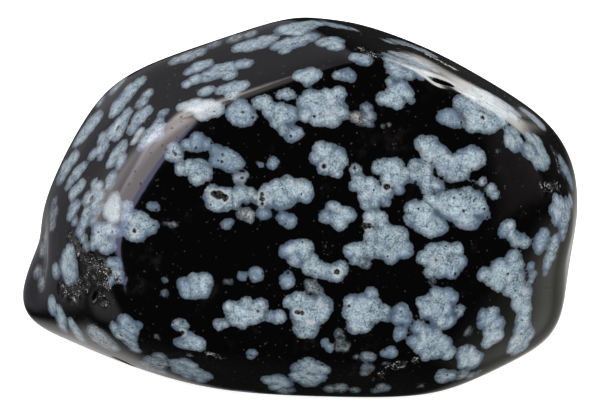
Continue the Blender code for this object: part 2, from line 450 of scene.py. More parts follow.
    "rim_strip_low": Flake(((38, 272, 0.65), (42, 284, 0.65)), Look.DIM, stretch=1.79),
    "foot_twin": Flake(((52, 302, 0.58), (53, 309, 0.65)), stretch=1.6),
    "foot_twin_right": Flake(((59, 311, 0.58), (61, 319, 0.80), (62, 326, 0.65)), stretch=1.6),
    "foot_drop": Flake(((72, 324, 0.58), (76, 331, 0.72), (80, 338, 0.65)), stretch=1.5),
    "foot_veil": Flake((
        (94, 333, 0.72), (100, 338, 0.87), (106, 343, 0.87), (112, 347, 0.65),
    ), Look.SOFT, stretch=2),
    "top_left_rim": Flake(((176, 60, 0.65), (188, 56, 0.87), (199, 52, 0.72)), Look.SOFT, stretch=1.26),
    "top_leaf": Flake(((190, 71, 0.58), (198, 67, 0.76), (206, 64, 0.61)), stretch=1.21),
    "top_long": Flake((
        (187, 84, 0.51), (196, 79, 0.65), (207, 76, 0.72), (217, 72, 0.90), (227, 69, 0.90),
        (230, 75, 0.65),
    ), stretch=1.26),
    "top_knob": Flake(((240, 64, 0.65), (246, 64, 0.61)), stretch=1.15),
    "top_slab": Flake(((240, 47, 0.69), (250, 45, 0.94), (262, 42, 0.94), (271, 39, 0.65)), stretch=1.15),
    "top_middle": Flake((
        (278, 46, 0.65), (288, 44, 0.90), (285, 50, 0.58), (299, 41, 0.83), (310, 37, 0.76),
    ), stretch=1.21),
    "top_back": Flake((
        (284, 29, 0.80), (295, 28, 1.01), (307, 25, 0.94), (316, 23, 0.8), (300, 31, 0.8),
    ), stretch=1.3),
    "top_back_right": Flake((
        (326, 23, 0.6), (334, 25, 0.8), (344, 27, 0.72), (353, 29, 0.58),
    ), stretch=1.6),
    "top_button": Flake(((325, 42, 0.72), (334, 41, 0.85), (336, 46, 0.70)), stretch=1.3),
    "top_rim_veil": Flake(((214, 44, 0.65), (235, 38, 0.72), (250, 34, 0.65)), Look.DIM, stretch=1.38),
    "low_bun": Flake((
        (298, 368, 0.58), (308, 368, 0.90), (319, 370, 0.76), (300, 376, 0.80), (309, 380, 0.87),
        (319, 377, 0.65), (325, 370, 0.43),
    ), stretch=1.7),
    "low_grey": Flake(((366, 357, 0.43), (371, 357, 0.40)), Look.SOFT, stretch=1.15),
    "low_grey_foot": Flake(((368, 368, 0.51), (365, 373, 0.43)), Look.DIM, stretch=1.5),
    "low_grey_veil": Flake(((356, 356, 0.36),), Look.GHOST, stretch=1.2),
    "low_blue_ghost": Flake(((385, 364, 0.33), (389, 364, 0.25)), Look.GHOST, stretch=1.1),
    "low_left_cloud": Flake((
        (176, 364, 0.65), (184, 363, 0.61), (179, 370, 0.65), (187, 371, 0.76), (196, 373, 0.76),
        (205, 376, 0.65), (200, 379, 0.58), (192, 366, 0.51), (188, 376, 0.58),
    ), stretch=1.8),
    "low_centre": Flake((
        (269, 380, 0.61), (278, 380, 0.76), (285, 384, 0.65), (276, 387, 0.58),
    ), stretch=1.6),
    "low_centre_foot": Flake(((283, 391, 0.58), (291, 390, 0.43)), Look.DIM, stretch=1.8),
    "corner_star": Flake((
        (116, 329, 0.61), (124, 322, 0.61), (130, 329, 0.72), (121, 336, 0.69), (127, 340, 0.54),
        (124, 331, 0.65), (131, 337, 0.58),
    ), stretch=1.2),
    "corner_bud": Flake(((138, 325, 0.36),), Look.BLUE),
    "corner_foot": Flake(((131, 344, 0.6), (135, 350, 0.5)), stretch=1.5),
    "rim_cloud_low": Flake((
        (160, 357, 0.61), (153, 361, 0.72), (146, 365, 0.62), (158, 366, 0.65), (163, 363, 0.55),
        (140, 367, 0.5), (150, 369, 0.62), (161, 372, 0.55),
    ), Look.SOFT, stretch=1.7),
    "low_ring": Flake(((443, 377, 0.65), (451, 376, 0.54)), stretch=1.7),
    "low_ring_tail": Flake(((463, 375, 0.54), (471, 376, 0.47), (478, 373, 0.36)), Look.SOFT, stretch=1.6),
    "foot_ghosts": Flake(((330, 389, 0.51), (341, 388, 0.58), (355, 390, 0.43)), Look.DIM, stretch=1.8),
    "foot_ghosts_right": Flake(((383, 388, 0.58), (375, 391, 0.36)), Look.DIM, stretch=1.8),
    "foot_ghost_far": Flake(((421, 386, 0.36),), Look.GHOST, stretch=2),
    "ghost_a": Flake(((165, 280, 0.30),), Look.DIM),
    "ghost_a_low": Flake(((165, 294, 0.32),), Look.DIM),
    "ghost_b": Flake(((166, 222, 0.35), (173, 225, 0.42)), Look.GHOST),
    "ghost_c": Flake(((226, 282, 0.26), (231, 282, 0.24)), Look.DIM_BROWN),
    "ghost_d": Flake(((158, 337, 0.36),), Look.GHOST),
    "ghost_e": Flake(((325, 246, 0.22),), Look.GHOST),
    "ghost_f": Flake(((468, 332, 0.50),), Look.GHOST),
    "ghost_g": Flake(((383, 125, 0.22), (389, 125, 0.24)), Look.DIM_BROWN),
    "ghost_h": Flake(((409, 111, 0.22),), Look.GHOST),
    "ghost_i": Flake(((498, 151, 0.29),), Look.GHOST),
    "ghost_j": Flake(((432, 282, 0.30),), Look.DIM_BROWN),
}

# Dark pin pits in the skin: the photograph's pixel of each
PIN_PITS = (
    (222, 162), (223, 155), (196, 148), (212, 143), (174, 151), (176, 155), (242, 178), (291, 136.5),
    (243, 112), (253, 118), (224, 103), (361, 56), (314.5, 116), (354.5, 168), (416, 182.5), (476, 199),
    (484, 209), (487, 217), (464, 211), (434, 194), (418, 209), (484, 181), (484, 112), (461, 123),
    (508, 274), (522, 320), (521, 334), (349, 306), (401, 312), (455, 274), (322, 365), (309, 373),
    (197, 372), (277, 384), (258, 311), (288, 273), (156, 210), (533, 117), (181, 117), (172, 128),
    (162.5, 145.5), (151, 153), (135, 171.5), (128.5, 184.5), (140.5, 184),
)

# Brown or dark hollows in the flakes: the photograph's pixels and the radii in millimetres
RUSTY_HOLLOWS = {
    "long_hole": ((214, 194, 0.25), (219, 195, 0.33), (225, 198, 0.25)),
    "ringed_slot": ((262, 194, 0.16), (262, 199, 0.2), (262, 204, 0.16)),
    "chain_hole": ((337, 272, 0.22),),
    "star_stain": ((297, 312, 0.20), (302, 313, 0.18)),
    "corner_hole": ((134, 231, 0.19),),
    "shoulder_hole": ((91, 198, 0.24),),
    "shoulder_stain": ((117, 128, 0.24),),
    "bun_stain": ((182, 333, 0.20),),
    "corner_star_stain": ((121, 336, 0.20),),
    "rim_stain": ((159, 366, 0.20),),
    "low_ring_hole": ((447, 376, 0.15),),
    "slab_stain": ((204, 187, 0.17),),
    "ringed_pit": ((387, 187, 0.26),),
    "red_spot": ((324, 166, 0.20),),
    "leaning_hollow": ((364, 226, 0.26), (369, 226, 0.22)),
    "ridge_smudge": ((483, 117, 0.22),),
}

# Unpolished places on the skin: lines through the photograph's pixels, with half widths in millimetres
ROUGH_PLACES = {
    "chip": ((70, 236, 0.25), (80, 250, 0.5), (89, 262, 0.8), (99, 274, 0.8), (107, 284, 0.4)),
    "chip_left": ((60, 290, 0.35), (72, 294, 0.5), (84, 284, 0.6)),
    "chip_corner": ((98, 295, 0.3), (104, 301, 0.45)),
    "chip_streak": ((101, 262, 0.35), (110, 272, 0.45), (117, 280, 0.35)),
    "foot_line": ((377, 380, 0.28), (387, 371, 0.46), (397, 366, 0.46), (407, 362, 0.34), (416, 360, 0.22)),
    "foot_line_left": ((209, 354, 0.18), (223, 358, 0.2)),
    "crest_specks": ((428, 55, 0.1), (440, 61, 0.2), (454, 69, 0.1)),
    "cap_specks": ((362, 49, 0.4), (374, 54, 0.55)),
    "right_specks": ((543, 188, 0.3), (559, 186, 0.35)),
    "right_rim_specks": ((555, 152, 0.35), (561, 172, 0.45)),
}

# Deep narrow slits in the skin, written as the unpolished places are
SLITS = {
    "crest_slit": ((432, 79, 0.07), (438, 81.5, 0.15), (445, 83.5, 0.15), (451, 85, 0.05)),
    "chip_gash": ((97, 292, 0.08), (94, 299, 0.12)),
    "foot_crack": ((116, 358, 0.08), (125, 362, 0.16), (135, 367, 0.08)),
}

# Shares of the looks among the flakes that the photograph doesn't show
UNSEEN_LOOKS = (
    (0.62, Look.PALE),
    (0.2, Look.BLUE),
    (0.08, Look.BRIGHT_AND_HIGHLIT),
    (0.05, Look.DIM),
    (0.05, Look.GHOST),
)

# Their sizes: the radius of the broadest lobe in millimetres, and how many places are tried
UNSEEN_SIZES = (
    (1.15, 260),
    (0.9, 420),
    (0.66, 700),
    (0.42, 420),
)

# Widths of bare glass that they keep from one another, in millimetres: below 0 they grow into one another
UNSEEN_GAPS = (-0.3, 0.1, 0.3)

# Skin that faces the camera less than this isn't seen in the photograph
HIDDEN_FACING = 0.06


def unit_vector(bearing: float, slope: float) -> np.ndarray:
    """Point along a bearing and a slope.

    Args:
        bearing: Degrees round the stone, 0 to the right and -90 towards the viewer.
        slope: Degrees above the horizontal.

    Returns:
        The unit vector, as three numbers.
    """
    turn = math.radians(bearing)
    rise = math.radians(slope)
    return np.array((math.cos(turn) * math.cos(rise), math.sin(turn) * math.cos(rise), math.sin(rise)))


@dataclass(frozen=True)
class PhotoCamera:
    """The camera at the photograph's viewing angle: lengths in millimetres, the picture in pixels."""

    bearing: float = -90.0
    elevation: float = 30.0
    distance: float = 220.0
    nearest: float = 10.0
    farthest: float = 10000.0
    lens: float = 180.0
    sensor: float = 36.0
    picture_width: int = 600
    picture_height: int = 417

    def back(self) -> np.ndarray:
        """Return the unit vector from the heart of the stone to the camera."""
        return unit_vector(self.bearing, self.elevation)

    def place(self) -> np.ndarray:
        """Return where the camera stands."""
        return HEART + self.back() * self.distance

    def ray(self, across: float, down: float) -> np.ndarray:
        """Point from the camera through a pixel of the photograph.

        Args:
            across: Pixels from the left edge.
            down: Pixels from the upper edge.

        Returns:
            The unit vector of the line of sight.
        """
        back = self.back()
        upward = np.cross(back, RIGHT)
        focal = self.lens / self.sensor * self.picture_width
        sight = RIGHT * (across - self.picture_width / 2) - upward * (down - self.picture_height / 2)
        sight = sight / focal - back
        return sight / np.linalg.norm(sight)

    def build(self) -> bpy.types.Object:
        """Make the scene's camera.

        Returns:
            The camera object, set as the scene's own.
        """
        data = bpy.data.cameras.new("photo_camera")
        data.lens = self.lens
        data.sensor_width = self.sensor
        data.clip_start = self.nearest * MILLIMETRE
        data.clip_end = self.farthest * MILLIMETRE
        camera = bpy.data.objects.new("photo_camera", data)
        camera.location = Vector(self.place() * MILLIMETRE)
        camera.rotation_euler = Vector(-self.back()).to_track_quat("-Z", "Y").to_euler()
        bpy.context.scene.collection.objects.link(camera)
        bpy.context.scene.camera = camera
        return camera


@dataclass
class StoneForm:
    """The shape of the stone: how far its skin lies from the heart in every direction."""

    faces: dict[str, tuple[float, float, float]] = field(default_factory=lambda: dict(WORN_FACES))
    forms: dict[str, tuple[float, float, float, float]] = field(
        default_factory=lambda: {**LOCAL_FORMS, **SLIGHT_FORMS})
    crispness: float = 20.0

    def reach(self, ways: np.ndarray) -> np.ndarray:
        """Find the distance from the heart to the skin.

        Args:
            ways: Unit vectors, one in each row.

        Returns:
            The distance in millimetres along each of them.
        """
        total = np.zeros(len(ways))
        for bearing, slope, distance in self.faces.values():
            share = np.maximum(ways @ unit_vector(bearing, slope) / distance, 0.0)
            total += share ** self.crispness
        distances = total ** (-1.0 / self.crispness)
        for bearing, slope, depth, width in self.forms.values():
            angle = np.degrees(np.arccos(np.clip(ways @ unit_vector(bearing, slope), -1.0, 1.0)))
            distances -= depth * np.exp(-((angle / width) ** 2))
        return distances

    def skin(self, ways: np.ndarray) -> np.ndarray:
        """Find the points of the skin, with the underside level.

        Args:
            ways: Unit vectors from the heart, one in each row.

        Returns:
            The points in millimetres, one in each row.
        """
        points = HEART + ways * self.reach(ways)[:, None]
        points[:, 2] = np.maximum(points[:, 2], 0.0)
        return points


@dataclass
class StoneSkin:
    """The fine mesh of the stone: a cube's faces, swelled to a ball and pressed onto the stone's form.

    Each of the cube's faces has its own field of the texture map, in columns and rows with bare margins.
    The tilt in degrees keeps the cube's corners away from the stone's own. Points that are the same to the
    given number of decimals are one point.
    """

    form: StoneForm
    squares: int = 128
    tilt: float = 30.0
    map_columns: int = 3
    map_rows: int = 2
    map_margin: float = 0.01
    same_decimals: int = 6
    points: np.ndarray = field(default_factory=lambda: np.zeros((0, 3)))
    ways: np.ndarray = field(default_factory=lambda: np.zeros((0, 3)))
    quads: np.ndarray = field(default_factory=lambda: np.zeros((0, 4), int))
    corners: np.ndarray = field(default_factory=lambda: np.zeros((0, 2)))
    normals: np.ndarray = field(default_factory=lambda: np.zeros((0, 3)))

    def cube_face(self, axis: int, side: int) -> np.ndarray:
        """Lay a grid of directions over one face of the cube.

        Args:
            axis: 0, 1 or 2 for the axis that the face stands across.
            side: 1 or -1 for the end of that axis.

        Returns:
            The directions, one in each row.
        """
        steps = np.tan(np.linspace(-math.pi / 4, math.pi / 4, self.squares + 1))
        first, second = np.meshgrid(steps, steps, indexing="ij")
        grid = np.zeros((self.squares + 1, self.squares + 1, 3))
        grid[..., axis] = side
        grid[..., (axis + 1) % 3] = first
        grid[..., (axis + 2) % 3] = second
        return grid.reshape(-1, 3)

    def lay_out(self) -> None:
        """Work out the directions, quads and map corners of the whole ball."""
        count = self.squares + 1
        index = np.arange(count * count).reshape(count, count)
        ring = np.stack((index[:-1, :-1], index[1:, :-1], index[1:, 1:], index[:-1, 1:]), axis=-1)
        ring = ring.reshape(-1, 4)
        spread = np.stack(np.meshgrid(np.arange(count), np.arange(count), indexing="ij"), axis=-1)
        spread = spread.reshape(-1, 2) / self.squares
        used = 1.0 - 2.0 * self.map_margin
        directions, quads, corners = [], [], []
        for number, (axis, side) in enumerate((axis, side) for axis in range(3) for side in (1, -1)):
            directions.append(self.cube_face(axis, side))
            face_ring = ring[:, ::-1] if side < 0 else ring
            quads.append(face_ring + number * count * count)
            field_corner = np.array((number % self.map_columns, number // self.map_columns))
            corner = field_corner + self.map_margin + spread[face_ring.ravel()] * used
            corners.append(corner / np.array((self.map_columns, self.map_rows)))
        every = np.concatenate(directions)
        every /= np.linalg.norm(every, axis=1, keepdims=True)
        rounded = np.round(every, self.same_decimals)
        _, kept, joined = np.unique(rounded, axis=0, return_index=True, return_inverse=True)
        turn = math.radians(self.tilt)
        cosine = math.cos(turn)
        sine = math.sin(turn)
        self.ways = every[kept] @ np.array(((1, 0, 0), (0, cosine, -sine), (0, sine, cosine)))
        self.quads = joined.reshape(-1)[np.concatenate(quads)]
        self.corners = np.concatenate(corners)

    def press(self) -> None:
        """Press the ball onto the form and average the quads' normals at its points."""
        self.points = self.form.skin(self.ways)
        a, b, c, d = (self.points[self.quads[:, i]] for i in range(4))
        across = np.cross(c - a, d - b)
        total = np.zeros_like(self.points)
        for i in range(4):
            np.add.at(total, self.quads[:, i], across)
        self.normals = total / np.linalg.norm(total, axis=1, keepdims=True)

    def tree(self) -> BVHTree:
        """Return the skin as a tree that lines of sight can be cast on."""
        return BVHTree.FromPolygons(self.points.tolist(), self.quads.tolist())

    def build(self, attributes: dict[str, np.ndarray]) -> bpy.types.Object:
        """Make the stone's mesh.

        Args:
            attributes: One number at every point, by the attribute's name.

        Returns:
            The stone, with its mesh in metres.
        """
        data = bpy.data.meshes.new("polished_stone")
        data.from_pydata((self.points * MILLIMETRE).tolist(), [], self.quads.tolist())
        layer = data.uv_layers.new(name="OFBake")
        layer.data.foreach_set("uv", self.corners.astype(np.float32).ravel())
        for name, values in attributes.items():
            attribute = data.attributes.new(name, "FLOAT", "POINT")
            attribute.data.foreach_set("value", values.astype(np.float32))
        data.polygons.foreach_set("use_smooth", [True] * len(data.polygons))
        data.update()
        stone = bpy.data.objects.new("polished_stone", data)
        bpy.context.scene.collection.objects.link(stone)
        return stone


@dataclass(frozen=True)
class Lobe:
    """One ball of pale mineral: its middle on the skin, its radius, and its stretch away from the viewer."""

    middle: np.ndarray
    radius: float
    away: np.ndarray
    stretch: float = 1.0


@dataclass
class Marker:
    """Finds where the photograph's pixels lie on the stone."""

    camera: PhotoCamera
    skin: StoneSkin
    least_length: float = 1e-9

    def __post_init__(self) -> None:
        """Prepare the tree for the lines of sight."""
        self.tree = self.skin.tree()
        self.place = Vector(self.camera.place())

    def on_skin(self, across: float, down: float) -> tuple[np.ndarray, np.ndarray]:
        """Find the point of the skin under a pixel.

        Args:
            across: Pixels from the left edge of the photograph.
            down: Pixels from its upper edge.

        Returns:
            The point in millimetres, and the unit vector along the skin that leads away from the camera.
        """
        sight = self.camera.ray(across, down)
        found, normal, _, _ = self.tree.ray_cast(self.place, Vector(sight))
        if found is None:
            middle = self.place + Vector(sight) * self.camera.distance
            found, normal, _, _ = self.tree.find_nearest(middle)
        outward = np.array(normal)
        away = sight - (sight @ outward) * outward
        return np.array(found), away / max(np.linalg.norm(away), self.least_length)

    def lobes(self, flake: Flake) -> list[Lobe]:
        """Set the lobes of one flake on the skin.

        Args:
            flake: The flake.

        Returns:
            The lobes.
        """
        made = []
        for across, down, radius in flake.marks:
            middle, away = self.on_skin(across, down)
            made.append(Lobe(middle, radius, away, flake.stretch))
        return made


@dataclass(frozen=True)
class Growth:
    """How an unseen flake grows: its steps and radii, as shares of the radius of its broadest lobe.

    The size change multiplies that radius first. Counts run from their first number to one below the second.
    """

    size_change: Range = (0.85, 1.2)
    more_broad: tuple[int, int] = (0, 3)
    broad_step: Range = (0.9, 1.5)
    broad_radius: Range = (0.65, 1.0)
    small_for_each: tuple[int, int] = (3, 6)
    small_step: Range = (0.75, 1.1)
    small_radius: Range = (0.34, 0.62)


@dataclass
class SnowflakePattern:
    """The snowflakes' numbers at every point of the skin, from which the finish is worked out.

    Lengths are in millimetres. The blend rounds the notches between lobes, and the reach is how far outside
    a flake its depth is measured. A seam's distance grows faster by the seam slope where a flake is alone.
    Pits, hollows and slits are measured as far out as the mark reach, and rough places as the rough reach.
    """

    skin: StoneSkin
    marker: Marker
    growth: Growth = Growth()
    blend: float = 0.04
    reach: float = 1.0
    seed: int = 7
    seam_slope: float = 3.0
    pin_radius: float = 0.17
    mark_reach: float = 0.4
    rough_reach: float = 0.6

    def __post_init__(self) -> None:
        """Start with bare glass."""
        count = len(self.skin.points)
        self.depth = np.full(count, -self.reach)
        self.second_depth = np.full(count, -self.reach)
        self.looks = {name: np.zeros(count) for name in LOOK_PARTS}
        self.middles: list[np.ndarray] = []
        self.radii: list[float] = []

    def add(self, lobes: list[Lobe], look: Look) -> None:
        """Grow one flake into the skin.

        Args:
            lobes: Its lobes.
            look: How it shows.
        """
        middles = np.array([lobe.middle for lobe in lobes])
        radii = np.array([lobe.radius for lobe in lobes])
        centre = middles.mean(axis=0)
        longest = max(lobe.radius * lobe.stretch for lobe in lobes)
        bound = np.linalg.norm(middles - centre, axis=1).max() + longest + self.reach
        near = np.where(np.linalg.norm(self.skin.points - centre, axis=1) < bound)[0]
        offset = self.skin.points[near][:, None, :] - middles
        away = np.array([lobe.away for lobe in lobes])
        along = (offset * away).sum(axis=2)
        shorten = np.array([1.0 - 1.0 / lobe.stretch ** 2 for lobe in lobes])
        outside = np.sqrt(np.maximum((offset ** 2).sum(axis=2) - along ** 2 * shorten, 0.0)) - radii
        least = outside.min(axis=1)
        total = np.exp(-(outside - least[:, None]) / self.blend).sum(axis=1)
        depth = np.clip(-(least - self.blend * np.log(total)), -self.reach, self.reach)
        before = self.depth[near]
        deeper = depth > before
        chosen = near[deeper]
        self.second_depth[near] = np.maximum(self.second_depth[near], np.minimum(depth, before))
        self.depth[chosen] = depth[deeper]
        for name, value in zip(LOOK_PARTS, look.value):
            self.looks[name][chosen] = value
        self.middles.extend(middles)
        self.radii.extend(radii)

    def add_seen(self) -> None:
        """Grow the flakes that the photograph shows."""
        for flake in SEEN_FLAKES.values():
            self.add(self.marker.lobes(flake), flake.look)

    def add_unseen(self) -> int:
        """Grow flakes of the same kind over the sides that the photograph doesn't show.

        Returns:
            How many were grown.
        """
        draw = np.random.default_rng(self.seed)
        toward = self.marker.camera.place() - self.skin.points
        toward /= np.linalg.norm(toward, axis=1, keepdims=True)
        hidden = np.where((toward * self.skin.normals).sum(axis=1) < HIDDEN_FACING)[0]
        shares = [share for share, _ in UNSEEN_LOOKS]
        grown = 0
        for size, tries in UNSEEN_SIZES:
            for start in draw.choice(hidden, tries):
                broadest = size * draw.uniform(*self.growth.size_change)
                middles, radii = self.cluster(draw, self.skin.ways[start], broadest)
                gap = draw.choice(UNSEEN_GAPS)
                if not self.is_free(middles, radii, gap) or not self.is_hidden(middles):
                    continue
                lobes = [Lobe(middle, radius, RIGHT) for middle, radius in zip(middles, radii)]
                drawn = draw.choice(len(UNSEEN_LOOKS), p=shares)
                _, look = UNSEEN_LOOKS[drawn]
                self.add(lobes, look)
                grown += 1
        return grown

    def cluster(self, draw: np.random.Generator, way: np.ndarray,
                size: float) -> tuple[np.ndarray, np.ndarray]:
        """Leave a cluster of lobes on the skin: a few broad ones with smaller ones round them.

        Args:
            draw: The source of random numbers.
            way: The direction from the heart to start in.
            size: The radius of the broadest lobe in millimetres.

        Returns:
            Their middles and radii.
        """
        habit = self.growth
        ways = [way]
        radii = [size]
        for _ in range(int(draw.integers(*habit.more_broad))):
            ways.append(self.step(draw, ways[-1], size * draw.uniform(*habit.broad_step)))
            radii.append(size * draw.uniform(*habit.broad_radius))
        broad = len(ways)
        for _ in range(int(draw.integers(*habit.small_for_each)) * broad):
            parent = int(draw.integers(broad))
            ways.append(self.step(draw, ways[parent], radii[parent] * draw.uniform(*habit.small_step)))
            radii.append(size * draw.uniform(*habit.small_radius))
        return self.skin.form.skin(np.array(ways)), np.array(radii)

    def step(self, draw: np.random.Generator, way: np.ndarray, length: float) -> np.ndarray:
        """Move over the skin in a random direction.

        Args:
            draw: The source of random numbers.
            way: The direction from the heart to start in.
            length: How far to move, in millimetres.

        Returns:
            The direction from the heart to where it ends.
        """
        aside = draw.normal(size=3)
        aside -= (aside @ way) * way
        aside *= length / np.linalg.norm(aside) / self.skin.form.reach(way[None])[0]
        return (way + aside) / np.linalg.norm(way + aside)

    def is_hidden(self, middles: np.ndarray) -> bool:
        """Tell whether the photograph shows none of these points of the skin.

        Args:
            middles: The points.

        Returns:
            True if all of them face away from the camera.
        """
        place = self.marker.camera.place()
        for middle in middles:
            _, normal, _, _ = self.marker.tree.find_nearest(Vector(middle))
            if (place - middle) @ np.array(normal) > HIDDEN_FACING * np.linalg.norm(place - middle):
                return False
        return True

    def is_free(self, middles: np.ndarray, radii: np.ndarray, gap: float) -> bool:
        """Tell whether a cluster keeps clear of every flake so far.

        Args:
            middles: The middles of its lobes.
            radii: Their radii.
            gap: The width of bare glass to keep, in millimetres.

        Returns:
            True if it does.
        """
        others = np.array(self.middles)
        apart = np.linalg.norm(middles[:, None, :] - others, axis=2)
        return bool((apart - radii[:, None] - np.array(self.radii) > gap).all())

    def spots(self, marks: list[Mark]) -> np.ndarray:
        """Measure the depth of every point inside a set of small spots.

        Args:
            marks: The pixel across, the pixel down and the radius in millimetres of each.

        Returns:
            The depth in millimetres, negative outside the spots.
        """
        depth = np.full(len(self.skin.points), -self.mark_reach)
        for across, down, radius in marks:
            middle, _ = self.marker.on_skin(across, down)
            depth = np.maximum(depth, radius - np.linalg.norm(self.skin.points - middle, axis=1))
        return depth

    def bands(self, lines: dict[str, tuple[Mark, ...]], reach: float) -> np.ndarray:
        """Measure the depth of every point inside a set of broad lines.

        Args:
            lines: For each, its corners: the pixel across, the pixel down and the half width in millimetres.
            reach: The distance outside at which the measure stops.

        Returns:
            The depth in millimetres, negative outside the lines.
        """
        depth = np.full(len(self.skin.points), -reach)
        for corners in lines.values():
            placed = [(self.marker.on_skin(across, down)[0], half) for across, down, half in corners]
            for (start, start_half), (end, end_half) in zip(placed, placed[1:]):
                run = end - start
                share = np.clip((self.skin.points - start) @ run / (run @ run), 0.0, 1.0)
                apart = np.linalg.norm(self.skin.points - start - share[:, None] * run, axis=1)
                depth = np.maximum(depth, start_half + (end_half - start_half) * share - apart)
        return depth

    def attributes(self) -> dict[str, np.ndarray]:
        """Collect the numbers that the finish reads.

        Returns:
            One array for each attribute, by name.
        """
        pits = [(across, down, self.pin_radius) for across, down in PIN_PITS]
        hollows = [mark for marks in RUSTY_HOLLOWS.values() for mark in marks]
        alone = np.maximum(-self.second_depth, 0.0)
        apart = self.depth - self.second_depth + self.seam_slope * alone
        return {
            "flake_depth": self.depth,
            **self.looks,
            "seam_distance": np.minimum(apart, self.reach),
            "pin_depth": self.spots(pits),
            "hollow_depth": self.spots(hollows),
            "rough_depth": self.bands(ROUGH_PLACES, self.rough_reach),
            "slit_depth": self.bands(SLITS, self.mark_reach),
        }


@dataclass(frozen=True)
class Change:
    """A smooth change: the numbers where it starts and ends, and the levels before and after it."""

    start: float
    end: float
    low: float = 0.0
    high: float = 1.0

    def level(self, values: np.ndarray) -> np.ndarray:
        """Work out the level at many numbers.

        Args:
            values: The numbers that rule the change.

        Returns:
            The level at each of them.
        """
        share = np.clip((values - self.start) / (self.end - self.start), 0.0, 1.0)
        return self.low + (self.high - self.low) * share * share * (3.0 - 2.0 * share)


@dataclass(frozen=True)
class SurfaceRelief:
    """The real relief of the skin, in millimetres: the grit of the unpolished places, hollows and slits.

    Each kind grows in over a change of its depth. Grit is fractal noise: the level is the part of it that
    lies under the polish, and its roughness, fineness and layers are what the noise is called with.
    """

    grit_height: float = 0.24
    grit_size: float = 0.55
    grit_level: float = 0.25
    grit_roughness: float = 0.6
    grit_fineness: float = 2.2
    grit_layers: int = 4
    grit_edge: Change = Change(-0.35, 0.4)
    hollow_depth: float = 0.1
    hollow_edge: Change = Change(-0.1, 0.15)
    slit_depth: float = 0.4
    slit_edge: Change = Change(-0.12, 0.08)

    def carve(self, skin: StoneSkin, numbers: dict[str, np.ndarray]) -> None:
        """Move the skin's points along their normals.

        Args:
            skin: The stone's skin.
            numbers: The numbers that the pattern gives at its points.
        """
        rough = self.grit_edge.level(numbers["rough_depth"])
        moved = np.zeros(len(skin.points))
        for index in np.where(rough > 0.0)[0]:
            place = Vector(skin.points[index] / self.grit_size)
            grit_and_glint = noise.fractal(place, self.grit_roughness, self.grit_fineness, self.grit_layers)
            moved[index] = self.grit_height * rough[index] * (grit_and_glint - self.grit_level)
        moved -= self.hollow_depth * self.hollow_edge.level(numbers["hollow_depth"])
        moved -= self.slit_depth * self.slit_edge.level(numbers["slit_depth"])
        skin.points = skin.points + skin.normals * moved[:, None]
        skin.points[:, 2] = np.maximum(skin.points[:, 2], 0.0)


@dataclass(frozen=True)
class Grain:
    """Soft grain: its width in millimetres, how many finer ones lie in it and how strong those are.

    The spread is for grain that frays a number: how far apart its lowest and its highest shift lie.
    """

    size: float
    detail: float = 2.0
    rough: float = 0.5
    spread: float = 1.0


@dataclass(frozen=True)
class Dots:
    """Scattered round dots: the width of the cell that each lies in, in millimetres, and how it fades out.

    The fading runs from the rim to the core, at distances that are shares of that width.
    """

    size: float
    fading: Change


@dataclass(frozen=True)
class Bump:
    """Relief that only bends the light: its depth in millimetres and how much of it shows."""

    depth: float
    strength: float


